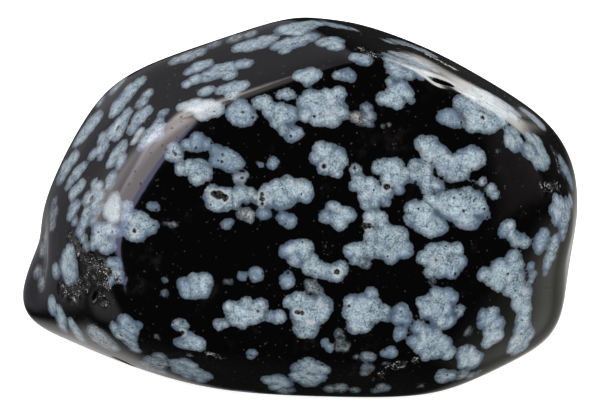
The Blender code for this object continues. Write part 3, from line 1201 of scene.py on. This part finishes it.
@dataclass(frozen=True)
class NodeDesk:
    """Adds the nodes of a material, a light or the world and joins them."""

    tree: bpy.types.NodeTree

    def add(self, kind: str) -> bpy.types.Node:
        """Return a new node of a kind."""
        return self.tree.nodes.new(kind)

    def put(self, socket: Socket, value: Value) -> None:
        """Join a socket to another, or set its number or colour.

        Args:
            socket: The input.
            value: The output to join to it, or the number or colour to set.
        """
        if isinstance(value, Socket):
            self.tree.links.new(value, socket)
        else:
            socket.default_value = value

    def node(self, kind: str, output: str, **inputs: Value) -> Socket:
        """Add a node, fill its inputs and give one of its outputs.

        Args:
            kind: Blender's name for the kind of node.
            output: The name of the output.
            inputs: What to put into its inputs, by their names.

        Returns:
            The output.
        """
        node = self.add(kind)
        for name, value in inputs.items():
            self.put(node.inputs[name], value)
        return node.outputs[output]

    def attribute(self, name: str) -> Socket:
        """Read a number that the mesh carries at its points.

        Args:
            name: The attribute's name.

        Returns:
            The number.
        """
        node = self.add("ShaderNodeAttribute")
        node.attribute_name = name
        return node.outputs["Fac"]

    def math(self, operation: str, *values: Value) -> Socket:
        """Work out one sum.

        Args:
            operation: Blender's name for it.
            values: Its numbers or sockets.

        Returns:
            The result.
        """
        node = self.add("ShaderNodeMath")
        node.operation = operation
        for socket, value in zip(node.inputs, values):
            self.put(socket, value)
        return node.outputs["Value"]

    def plus(self, first: Value, second: Value) -> Socket:
        """Return the sum of two numbers."""
        return self.math("ADD", first, second)

    def times(self, first: Value, second: Value) -> Socket:
        """Return the product of two numbers."""
        return self.math("MULTIPLY", first, second)

    def larger(self, first: Value, second: Value) -> Socket:
        """Return the larger of two numbers."""
        return self.math("MAXIMUM", first, second)

    def rest(self, share: Value) -> Socket:
        """Return what a share leaves of 1."""
        return self.math("SUBTRACT", 1.0, share)

    def ramp(self, value: Socket, change: Change) -> Socket:
        """Change a number smoothly from one level to another.

        Args:
            value: The number that rules it.
            change: Where it changes, and its levels.

        Returns:
            The level.
        """
        node = self.add("ShaderNodeMapRange")
        node.interpolation_type = "SMOOTHSTEP"
        self.put(node.inputs["Value"], value)
        self.put(node.inputs["From Min"], change.start)
        self.put(node.inputs["From Max"], change.end)
        self.put(node.inputs["To Min"], change.low)
        self.put(node.inputs["To Max"], change.high)
        return node.outputs["Result"]

    def grain(self, place: Socket, grain: Grain) -> Socket:
        """Make soft grain.

        Args:
            place: The coordinates to read, in metres.
            grain: Its sizes.

        Returns:
            A number round 0.5.
        """
        scale = 1.0 / (grain.size * MILLIMETRE)
        return self.node("ShaderNodeTexNoise", "Fac", Vector=place, Scale=scale, Detail=grain.detail,
                         Roughness=grain.rough)

    def fray(self, value: Socket, place: Socket, grain: Grain) -> Socket:
        """Shift a number up and down by grain.

        Args:
            value: The number.
            place: The coordinates to read.
            grain: The grain's sizes and spread.

        Returns:
            The shifted number.
        """
        shift = self.math("MULTIPLY_ADD", self.grain(place, grain), grain.spread, -grain.spread / 2)
        return self.plus(value, shift)

    def cells(self, place: Socket, size: float) -> bpy.types.Node:
        """Scatter one point in each cell of space.

        Args:
            place: The coordinates to read.
            size: The width of a cell in millimetres.

        Returns:
            The node, which gives the distance to the nearest point and a colour for its cell.
        """
        node = self.add("ShaderNodeTexVoronoi")
        self.put(node.inputs["Vector"], place)
        self.put(node.inputs["Scale"], 1.0 / (size * MILLIMETRE))
        return node

    def dots(self, place: Socket, dots: Dots) -> tuple[Socket, Socket]:
        """Scatter round dots.

        Args:
            place: The coordinates to read.
            dots: Their sizes.

        Returns:
            The share of dot, and a number from 0 to 1 that differs from cell to cell.
        """
        cells = self.cells(place, dots.size)
        drawn = self.node("ShaderNodeRGBToBW", "Val", Color=cells.outputs["Color"])
        return self.ramp(cells.outputs["Distance"], dots.fading), drawn

    def slant(self, place: Socket, turn: Mark, stretch: Mark) -> Socket:
        """Draw grain out along a slanting line.

        Args:
            place: The coordinates.
            turn: How the line is turned, in degrees round each axis.
            stretch: How much longer the grain is along each axis.

        Returns:
            The coordinates in which it is drawn out.
        """
        node = self.add("ShaderNodeMapping")
        node.vector_type = "TEXTURE"
        self.put(node.inputs["Vector"], place)
        self.put(node.inputs["Rotation"], tuple(math.radians(angle) for angle in turn))
        self.put(node.inputs["Scale"], stretch)
        return node.outputs["Vector"]

    def seams(self, place: Socket, size: float, waves: float, sway: float) -> Socket:
        """Measure how far the seams between wavy cells lie.

        Args:
            place: The coordinates.
            size: The width of a cell in millimetres.
            waves: How many waves a seam makes in that width.
            sway: How far it sways, as a share of that width.

        Returns:
            The distance, as a share of that width.
        """
        warp = self.node("ShaderNodeTexNoise", "Color", Vector=place, Scale=waves / (size * MILLIMETRE))
        shift = self.add("ShaderNodeVectorMath")
        shift.operation = "MULTIPLY_ADD"
        for socket, value in zip(shift.inputs, (warp, (sway * size * MILLIMETRE,) * 3, place)):
            self.put(socket, value)
        node = self.cells(shift.outputs["Vector"], size)
        node.feature = "DISTANCE_TO_EDGE"
        return node.outputs["Distance"]

    def blend(self, share: Value, first: Value, second: Value) -> Socket:
        """Blend two colours.

        Args:
            share: How much of the second to take.
            first: A colour or socket.
            second: A colour or socket.

        Returns:
            The colour.
        """
        node = self.add("ShaderNodeMix")
        node.data_type = "RGBA"
        self.put(node.inputs["Factor"], share)
        self.put(node.inputs[MIX_FIRST], first)
        self.put(node.inputs[MIX_SECOND], second)
        return node.outputs[MIX_RESULT]

    def bump(self, height: Socket, bump: Bump, under: Socket | None = None) -> Socket:
        """Raise fine relief.

        Args:
            height: A number from 0 to 1.
            bump: How deep it is and how much of it shows.
            under: A normal that it lies on.

        Returns:
            The normal.
        """
        node = self.add("ShaderNodeBump")
        self.put(node.inputs["Distance"], bump.depth * MILLIMETRE)
        self.put(node.inputs["Strength"], bump.strength)
        self.put(node.inputs["Height"], height)
        if under is not None:
            self.put(node.inputs["Normal"], under)
        return node.outputs["Normal"]


@dataclass(frozen=True)
class Surface:
    """What the parts of the finish share: coordinates, grains, and the shares of each kind of skin."""

    place: Socket
    slanted: Socket
    fine: Socket
    middling: Socket
    mottle: Socket
    edge: Socket
    inside: Socket
    rough: Socket
    slit: Socket
    pits: Socket
    hollow: Socket


@dataclass(frozen=True)
class SnowflakeGlass:
    """The finish: polished black glass with pale snowflakes, dark pits and rough, unpolished places."""

    # Colours
    glass: Colour = (0.0008, 0.0008, 0.0009, 1.0)
    smoke: Colour = (0.013, 0.011, 0.0105, 1.0)
    speck: Colour = (0.045, 0.039, 0.037, 1.0)
    rim: Colour = (0.033, 0.049, 0.066, 1.0)
    body: Colour = (0.07, 0.107, 0.138, 1.0)
    heart: Colour = (0.45, 0.55, 0.61, 1.0)
    blue: Colour = (0.14, 0.205, 0.285, 1.0)
    steel: Colour = (0.09, 0.135, 0.225, 1.0)
    bright: Colour = (0.50, 0.53, 0.55, 1.0)
    umber: Colour = (0.055, 0.045, 0.04, 1.0)
    buff: Colour = (0.46, 0.43, 0.39, 1.0)
    rust: Colour = (0.05, 0.054, 0.044, 1.0)
    # White of the grit specks on the unpolished places, partly painted glints
    grit_and_glint: Colour = (0.6, 0.59, 0.58, 1.0)
    # Grey of the dust on the unpolished places, partly a painted sheen of soft reflection
    dust_and_sheen: Colour = (0.035, 0.034, 0.035, 1.0)

    # Gloss
    gloss: float = 0.08
    flake_gloss: float = 0.18
    rough_gloss: float = 0.16
    pit_gloss: float = 0.5
    index: float = 1.5

    # Edges of each kind of skin, over its depth in millimetres
    coarse_fray: Grain = Grain(0.6, 2.0, 0.6, 0.34)
    fine_fray: Grain = Grain(0.2, 2.0, 0.5, 0.13)
    flake_edge: Change = Change(-0.03, 0.06)
    rough_fray: Grain = Grain(0.5, 3.0, 0.7, 1.6)
    rough_edge: Change = Change(-0.05, 0.25)
    hollow_fray: Grain = Grain(0.3, 2.0, 0.5, 0.2)
    hollow_edge: Change = Change(-0.04, 0.05)
    slit_edge: Change = Change(-0.04, 0.04)
    pin_edge: Change = Change(0.0, 0.06)
    small_pits: Dots = Dots(0.55, Change(0.18, 0.08))
    small_pit_odds: float = 0.38

    # The flakes' mottle: shares of three grains, less the seams between wavy cells
    fine_grain: Grain = Grain(0.13, 2.0, 0.7)
    fine_contrast: Change = Change(0.34, 0.66)
    fine_share: float = 0.52
    middling_grain: Grain = Grain(0.42, 3.0, 0.7)
    middling_contrast: Change = Change(0.3, 0.7)
    middling_share: float = 0.33
    broad_grain: Grain = Grain(1.3)
    broad_contrast: Change = Change(0.32, 0.68)
    broad_share: float = 0.27
    least_mottle: float = -0.06
    cell_size: float = 1.1
    cell_waves: float = 1.6
    cell_sway: float = 0.6
    cell_seams: Change = Change(0.0, 0.09, 0.22, 0.0)

    # The flakes' patches, rims, seams, rings and stains
    steel_grain: Grain = Grain(1.7, 1.0)
    steel_contrast: Change = Change(0.47, 0.62)
    steel_by_depth: Change = Change(0.05, 0.65, 0.8, 0.0)
    white_grain: Grain = Grain(0.9)
    white_contrast: Change = Change(0.55, 0.75, 0.0, 0.5)
    blue_by_mottle: Change = Change(0.2, 0.8, 0.85, 0.25)
    # How much of the bright colour the bright flakes take: partly a painted highlight where they lie under
    # the window's reflection
    bright_and_highlit_share: float = 0.7
    earthy_contrast: Change = Change(0.25, 0.75)
    rim_by_depth: Change = Change(0.0, 0.42, 0.8, 0.0)
    seam_by_distance: Change = Change(0.0, 0.16, 0.6, 0.0)
    ring_by_depth: Change = Change(-0.24, -0.05, 0.0, 0.4)
    stain_contrast: Change = Change(0.3, 0.8)
    pit_share: float = 0.93
    veil_by_depth: Change = Change(0.0, 0.28, 1.5, 1.08)
    veil_patches: float = -0.5

    # The bare glass
    smoke_grain: Grain = Grain(2.5, 4.0, 0.7)
    smoke_contrast: Change = Change(0.55, 0.85)
    large_specks: Dots = Dots(0.7, Change(0.14, 0.05))
    large_speck_odds: Change = Change(0.35, 0.9)
    small_specks: Dots = Dots(0.37, Change(0.2, 0.08))
    small_speck_odds: Change = Change(0.45, 0.9)

    # The unpolished places: grey dust that is partly a painted sheen, and white grit specks that are partly
    # painted glints
    streak_turn: Mark = (0.0, 37.0, -40.0)
    streak_stretch: Mark = (3.2, 1.0, 1.0)
    dust_and_sheen_grain: Grain = Grain(0.5, 3.0, 0.7)
    dust_and_sheen_contrast: Change = Change(0.5, 0.64)
    streak_grain: Grain = Grain(0.9)
    streak_share: float = 0.5
    # The white grit specks, partly painted glints
    grit_and_glint_grain: Grain = Grain(0.13, 2.0, 0.75)
    grit_and_glint_by_depth: Change = Change(0.05, 0.35, 0.06, -0.02)
    grit_and_glint_contrast: Change = Change(0.875, 0.925)

    # Fine relief
    wave_grain: Grain = Grain(2.2)
    wave_bump: Bump = Bump(0.02, 0.5)
    hollow_bump: Bump = Bump(0.05, 0.8)
    grit_grain: Grain = Grain(0.3, 4.0, 0.75)
    grit_bump: Bump = Bump(0.08, 1.0)

    def build(self) -> bpy.types.Material:
        """Make the material.

        Returns:
            The material, worked out from the numbers that the mesh carries.
        """
        material = bpy.data.materials.new("snowflake_glass")
        material.use_nodes = True
        desk = NodeDesk(material.node_tree)
        surface = self.survey(desk)
        flake = self.flake_colour(desk, surface)
        stone = desk.blend(self.shown_flake(desk, surface), self.glass_colour(desk, surface), flake)
        shader = material.node_tree.nodes["Principled BSDF"]
        desk.put(shader.inputs["Base Color"], self.unpolished(desk, surface, stone))
        desk.put(shader.inputs["Roughness"], self.roughness(desk, surface))
        desk.put(shader.inputs["Normal"], self.relief(desk, surface))
        desk.put(shader.inputs["IOR"], self.index)
        return material

    def survey(self, desk: NodeDesk) -> Surface:
        """Work out what the parts of the finish share.

        Args:
            desk: The material's nodes.

        Returns:
            The coordinates, grains and shares.
        """
        place = desk.add("ShaderNodeTexCoord").outputs["Object"]
        fine = desk.ramp(desk.grain(place, self.fine_grain), self.fine_contrast)
        middling = desk.ramp(desk.grain(place, self.middling_grain), self.middling_contrast)
        broad = desk.ramp(desk.grain(place, self.broad_grain), self.broad_contrast)
        mottle = desk.math("MULTIPLY_ADD", broad, self.broad_share, self.least_mottle)
        mottle = desk.math("MULTIPLY_ADD", fine, self.fine_share, mottle)
        mottle = desk.math("MULTIPLY_ADD", middling, self.middling_share, mottle)
        seams = desk.seams(place, self.cell_size, self.cell_waves, self.cell_sway)
        edge = desk.fray(desk.attribute("flake_depth"), place, self.coarse_fray)
        edge = desk.fray(edge, place, self.fine_fray)
        rough = desk.fray(desk.attribute("rough_depth"), place, self.rough_fray)
        hollow = desk.fray(desk.attribute("hollow_depth"), place, self.hollow_fray)
        slit = desk.ramp(desk.attribute("slit_depth"), self.slit_edge)
        return Surface(
            place=place,
            slanted=desk.slant(place, self.streak_turn, self.streak_stretch),
            fine=fine,
            middling=middling,
            mottle=desk.math("SUBTRACT", mottle, desk.ramp(seams, self.cell_seams)),
            edge=edge,
            inside=desk.ramp(edge, self.flake_edge),
            rough=desk.ramp(rough, self.rough_edge),
            slit=slit,
            pits=desk.larger(self.pin_pits(desk, place), slit),
            hollow=desk.ramp(hollow, self.hollow_edge),
        )

    def pin_pits(self, desk: NodeDesk, place: Socket) -> Socket:
        """Set dark pin pits: those that were marked and a scatter of smaller ones.

        Args:
            desk: The material's nodes.
            place: The coordinates.

        Returns:
            The share of pit.
        """
        marked = desk.ramp(desk.attribute("pin_depth"), self.pin_edge)
        small, drawn = desk.dots(place, self.small_pits)
        return desk.larger(marked, desk.times(small, desk.math("LESS_THAN", drawn, self.small_pit_odds)))

    def shown_flake(self, desk: NodeDesk, surface: Surface) -> Socket:
        """Dim the flakes that lie under the glass.

        Args:
            desk: The material's nodes.
            surface: What the parts of the finish share.

        Returns:
            The share of flake that shows.
        """
        veil = desk.ramp(surface.edge, self.veil_by_depth)
        patchy = desk.math("MULTIPLY_ADD", surface.middling, self.veil_patches, veil)
        shown = desk.rest(desk.times(desk.attribute("dimmed"), patchy))
        return desk.times(surface.inside, desk.larger(shown, 0.0))

    def flake_colour(self, desk: NodeDesk, surface: Surface) -> Socket:
        """Colour the flakes: mottle, steely and white patches, paler flakes with a partly painted highlight,
        darker rims and seams, pits and hollows.

        Args:
            desk: The material's nodes.
            surface: What the parts of the finish share.

        Returns:
            The colour.
        """
        place = surface.place
        flake = desk.blend(surface.mottle, self.body, self.heart)
        steely = desk.ramp(desk.grain(place, self.steel_grain), self.steel_contrast)
        steely = desk.times(steely, desk.ramp(surface.edge, self.steel_by_depth))
        flake = desk.blend(steely, flake, self.steel)
        whitish = desk.ramp(desk.grain(place, self.white_grain), self.white_contrast)
        flake = desk.blend(whitish, flake, self.bright)
        deep_blue = desk.times(desk.attribute("blue"), desk.ramp(surface.mottle, self.blue_by_mottle))
        flake = desk.blend(deep_blue, flake, self.blue)
        # Paler flakes, whose brightness under the window's reflection is partly a painted highlight
        flake = desk.blend(desk.times(desk.attribute("bright"), self.bright_and_highlit_share), flake, self.bright)
        earthy = desk.blend(desk.ramp(surface.mottle, self.earthy_contrast), self.umber, self.buff)
        flake = desk.blend(desk.attribute("brown"), flake, earthy)
        flake = desk.blend(desk.ramp(surface.edge, self.rim_by_depth), flake, self.rim)
        seam = desk.ramp(desk.attribute("seam_distance"), self.seam_by_distance)
        flake = desk.blend(seam, flake, self.rim)
        ring = desk.ramp(desk.attribute("hollow_depth"), self.ring_by_depth)
        flake = desk.blend(ring, flake, self.bright)
        stain = desk.blend(desk.ramp(surface.fine, self.stain_contrast), self.glass, self.rust)
        flake = desk.blend(surface.hollow, flake, stain)
        return desk.blend(desk.times(surface.pits, self.pit_share), flake, self.glass)

    def glass_colour(self, desk: NodeDesk, surface: Surface) -> Socket:
        """Colour the bare glass: black, with brown smoke and faint specks.

        Args:
            desk: The material's nodes.
            surface: What the parts of the finish share.

        Returns:
            The colour.
        """
        smoky = desk.ramp(desk.grain(surface.place, self.smoke_grain), self.smoke_contrast)
        dark = desk.blend(smoky, self.glass, self.smoke)
        large, large_draw = desk.dots(surface.place, self.large_specks)
        large = desk.times(large, desk.ramp(large_draw, self.large_speck_odds))
        small, small_draw = desk.dots(surface.place, self.small_specks)
        small = desk.times(small, desk.ramp(small_draw, self.small_speck_odds))
        return desk.blend(desk.larger(large, small), dark, self.speck)

    def unpolished(self, desk: NodeDesk, surface: Surface, stone: Socket) -> Socket:
        """Lay dark broken glass, grey dust that is partly a painted sheen, and white grit specks that are
        partly painted glints over the unpolished places.

        Args:
            desk: The material's nodes.
            surface: What the parts of the finish share.
            stone: The colour of the polished stone.

        Returns:
            The colour of the whole stone.
        """
        stone = desk.blend(surface.rough, stone, self.glass)
        # Grey dust in patches over the rough share: partly dust, partly a painted sheen
        dust_and_sheen_patches = desk.ramp(desk.grain(surface.slanted, self.dust_and_sheen_grain), self.dust_and_sheen_contrast)
        stone = desk.blend(desk.times(surface.rough, dust_and_sheen_patches), stone, self.dust_and_sheen)
        # White grit specks along slanting streaks, with more of them near the borders and in thin lines:
        # partly grit, partly painted glints
        streaks = desk.times(desk.grain(surface.slanted, self.streak_grain), self.streak_share)
        streaks = desk.plus(streaks, desk.ramp(desk.attribute("rough_depth"), self.grit_and_glint_by_depth))
        grit_and_glint_specks = desk.plus(desk.grain(surface.place, self.grit_and_glint_grain), streaks)
        grit_and_glint_specks = desk.ramp(grit_and_glint_specks, self.grit_and_glint_contrast)
        return desk.blend(desk.times(surface.rough, grit_and_glint_specks), stone, self.grit_and_glint)

    def roughness(self, desk: NodeDesk, surface: Surface) -> Socket:
        """Dull the flakes, the pits and the unpolished places.

        Args:
            desk: The material's nodes.
            surface: What the parts of the finish share.

        Returns:
            The roughness.
        """
        gloss = desk.ramp(surface.inside, Change(0.0, 1.0, self.gloss, self.flake_gloss))
        gloss = desk.larger(gloss, desk.times(surface.rough, self.rough_gloss))
        gloss = desk.larger(gloss, desk.times(surface.pits, self.pit_gloss))
        return desk.larger(gloss, surface.slit)

    def relief(self, desk: NodeDesk, surface: Surface) -> Socket:
        """Raise the fine relief: pits, hollows and grit, and the faint unevenness of the polish.

        Args:
            desk: The material's nodes.
            surface: What the parts of the finish share.

        Returns:
            The normal.
        """
        wave = desk.bump(desk.grain(surface.place, self.wave_grain), self.wave_bump)
        sunk = desk.larger(desk.times(surface.pits, surface.inside), surface.hollow)
        sunk = desk.bump(desk.rest(sunk), self.hollow_bump, wave)
        grit_and_glint = desk.times(desk.grain(surface.slanted, self.grit_grain), surface.rough)
        return desk.bump(grit_and_glint, self.grit_bump, sunk)


class Falls(Enum):
    """What a soft light falls on: the polish, which mirrors it, or the matt colour under the polish."""

    ON_POLISH = "polish"
    ON_COLOUR = "colour"


@dataclass(frozen=True)
class SoftBox:
    """One soft light of the studio: where it hangs and how wide it looks from the stone, in degrees.

    It fades out over a share of its width along every border. An arched one is a half oval that stands on
    its sill, the share of its height over which its base fades in. The lean raises its right end, seen from
    the stone, in degrees.
    """

    name: str
    bearing: float
    slope: float
    across: float
    upward: float
    brightness: float
    colour: tuple[float, float, float] = (1.0, 1.0, 1.0)
    fade: float = 0.03
    arched: bool = False
    sill: float = 0.25
    lean: float = 0.0
    distance: float = 300.0
    falls: Falls = Falls.ON_POLISH

    def build(self) -> bpy.types.Object:
        """Hang the light, turned to the stone.

        Returns:
            The light.
        """
        data = bpy.data.lights.new(self.name, "AREA")
        data.shape = "RECTANGLE"
        reach = 2.0 * self.distance * MILLIMETRE
        data.size = reach * math.tan(math.radians(self.across / 2))
        data.size_y = reach * math.tan(math.radians(self.upward / 2))
        data.energy = self.brightness * math.pi * (data.size * data.size_y)
        data.color = self.colour
        self.soften(data)
        light = bpy.data.objects.new(self.name, data)
        way = unit_vector(self.bearing, self.slope)
        light.location = Vector((HEART + way * self.distance) * MILLIMETRE)
        facing = Vector(-way).to_track_quat("-Z", "Y")
        leaning = Quaternion((0.0, 0.0, 1.0), math.radians(-self.lean))
        light.rotation_euler = (facing @ leaning).to_euler()
        light.visible_camera = False
        light.visible_diffuse = self.falls is Falls.ON_COLOUR
        light.visible_glossy = self.falls is Falls.ON_POLISH
        bpy.context.scene.collection.objects.link(light)
        return light

    def soften(self, data: bpy.types.Light) -> None:
        """Let the light fade towards its borders.

        Args:
            data: The light's data.
        """
        data.use_nodes = True
        desk = NodeDesk(data.node_tree)
        split = desk.add("ShaderNodeSeparateXYZ")
        desk.put(split.inputs["Vector"], desk.add("ShaderNodeNewGeometry").outputs["Parametric"])
        across = split.outputs["X"]
        upward = split.outputs["Y"]
        if self.arched:
            aside = desk.math("MULTIPLY_ADD", across, 2.0, -1.0)
            squares = desk.plus(desk.times(aside, aside), desk.times(upward, upward))
            share = desk.ramp(squares, Change(1.0 - self.fade, 1.0, 1.0, 0.0))
            share = desk.times(share, desk.ramp(upward, Change(0.0, self.sill)))
        else:
            shares = []
            for along in (across, upward):
                from_end = desk.math("MINIMUM", along, desk.rest(along))
                shares.append(desk.ramp(from_end, Change(0.0, self.fade)))
            share = desk.times(*shares)
        desk.put(data.node_tree.nodes["Emission"].inputs["Strength"], share)


@dataclass(frozen=True)
class Studio:
    """The plain pale floor, the pale surroundings and the soft lights.

    The room's levels are how bright it is to the camera, to matt colour and in the polish.
    """

    floor_radius: float = 66.0
    floor_sides: int = 96
    floor_colour: Colour = (0.8, 0.8, 0.8, 1.0)
    floor_glow: float = 0.85
    room_colour: Colour = (1.0, 1.0, 1.0, 1.0)
    room_seen: float = 1.0
    room_matt: float = 1.05
    room_gloss: float = 0.02
    lights: tuple[SoftBox, ...] = (
        SoftBox("window", 180, 44.5, 91, 42, 1.75, (1.0, 0.79, 0.1), 0.06, arched=True),
        SoftBox("window_frame", 186.5, 44.9, 105, 42.8, 2.9, (0.74, 0.76, 1.22), 0.06, arched=True),
        SoftBox("window_core", 152, 48, 54, 36, 3.2, (1.0, 0.9, 0.86), 0.5),
        SoftBox("window_end", 124, 38, 14, 24, 5.0, (1.0, 0.93, 0.9), 0.3),
        SoftBox("window_glow", 165.5, 16, 70, 38, 1.8, (1.0, 0.93, 0.95), 0.18),
        SoftBox("crest_light", 74.3, -3, 12, 21, 1.7, (1.0, 0.98, 0.95), 0.3),
        SoftBox("crest_light_right", 65, 0, 17, 20, 1.9, (1.0, 0.98, 0.95), 0.25, lean=27),
        SoftBox("back_wall", 111, 27, 44, 70, 0.26, (0.95, 0.95, 1.05), 0.1),
        SoftBox("left_wall", 134, -12, 52, 50, 0.17, (1.0, 0.97, 1.06), 0.25),
        SoftBox("right_wall", -6, 20, 88, 50, 0.17, (1.0, 0.86, 0.86), 0.3),
        SoftBox("right_low", -1, -34, 40, 56, 0.8, (1.0, 0.99, 0.92), 0.5),
        SoftBox("right_low_wide", 42, -42, 78, 52, 0.28, (1.0, 0.99, 0.9), 0.3),
        SoftBox("table_edge", 92, -38, 64, 30, 0.4, (1.0, 0.99, 0.97), 0.35),
        SoftBox("left_foot_light", 126, -52, 50, 26, 0.55, (1.0, 0.98, 0.96), 0.4),
        SoftBox("left_low", -170, -20, 64, 50, 0.42, (1.0, 0.98, 0.98), 0.5),
        SoftBox("key_fill", -110, 50, 80, 66, 0.5, falls=Falls.ON_COLOUR),
        SoftBox("right_fill", -20, 40, 66, 52, 0.4, falls=Falls.ON_COLOUR),
    )

    def build(self) -> None:
        """Lay the floor, set the surroundings and hang the lights."""
        self.build_floor()
        self.build_room()
        for light in self.lights:
            light.build()

    def build_floor(self) -> None:
        """Lay a round floor under the stone."""
        steps = [2 * math.pi * i / self.floor_sides for i in range(self.floor_sides)]
        radius = self.floor_radius * MILLIMETRE
        rim = [(radius * math.cos(step), radius * math.sin(step), 0.0) for step in steps]
        data = bpy.data.meshes.new("pale_floor")
        data.from_pydata(rim, [], [list(range(self.floor_sides))])
        data.materials.append(self.floor_finish())
        floor = bpy.data.objects.new("pale_floor", data)
        floor.visible_glossy = False
        bpy.context.scene.collection.objects.link(floor)

    def floor_finish(self) -> bpy.types.Material:
        """Make matt white paper that the camera sees without a hard shadow.

        Returns:
            The material.
        """
        material = bpy.data.materials.new("white_paper")
        material.use_nodes = True
        material.node_tree.nodes.clear()
        desk = NodeDesk(material.node_tree)
        seen = desk.add("ShaderNodeLightPath").outputs["Is Camera Ray"]
        matt = desk.node("ShaderNodeBsdfDiffuse", "BSDF", Color=self.floor_colour)
        glow = desk.node("ShaderNodeEmission", "Emission", Strength=desk.times(seen, self.floor_glow))
        both = desk.add("ShaderNodeAddShader")
        desk.put(both.inputs[0], matt)
        desk.put(both.inputs[1], glow)
        output = desk.add("ShaderNodeOutputMaterial")
        desk.put(output.inputs["Surface"], both.outputs["Shader"])
        return material

    def build_room(self) -> None:
        """Surround the stone with a pale room that is dark in the polish."""
        world = bpy.data.worlds.new("pale_room")
        world.use_nodes = True
        desk = NodeDesk(world.node_tree)
        path = desk.add("ShaderNodeLightPath").outputs
        level = desk.times(path["Is Camera Ray"], self.room_seen)
        level = desk.plus(level, desk.times(path["Is Diffuse Ray"], self.room_matt))
        level = desk.plus(level, desk.times(path["Is Glossy Ray"], self.room_gloss))
        background = world.node_tree.nodes["Background"]
        desk.put(background.inputs["Strength"], level)
        desk.put(background.inputs["Color"], self.room_colour)
        bpy.context.scene.world = world
        bpy.context.scene.view_settings.view_transform = "Standard"


def main() -> None:
    """Build the stone and its studio in order."""
    logging.basicConfig(level=logging.INFO, format="%(message)s")
    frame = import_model()
    LOG.info("frame: %s", ", ".join(frame["nodes"]))
    camera = PhotoCamera()
    camera.build()
    studio = Studio()
    studio.build()
    LOG.info("studio: floor, room and %d lights", len(studio.lights))
    skin = StoneSkin(StoneForm())
    skin.lay_out()
    skin.press()
    pattern = SnowflakePattern(skin, Marker(camera, skin))
    pattern.add_seen()
    grown = pattern.add_unseen()
    cover = 100.0 * (pattern.depth > 0.0).mean()
    LOG.info("snowflakes: %d seen and %d unseen, on %.0f%% of the points", len(SEEN_FLAKES), grown, cover)
    numbers = pattern.attributes()
    SurfaceRelief().carve(skin, numbers)
    stone = skin.build(numbers)
    stone.data.materials.append(SnowflakeGlass().build())
    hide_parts(NODE_NAME)
    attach(stone, "root")
    LOG.info("polished_stone: %d points and %d faces", len(stone.data.vertices), len(stone.data.polygons))


if __name__ == "__main__":
    main()
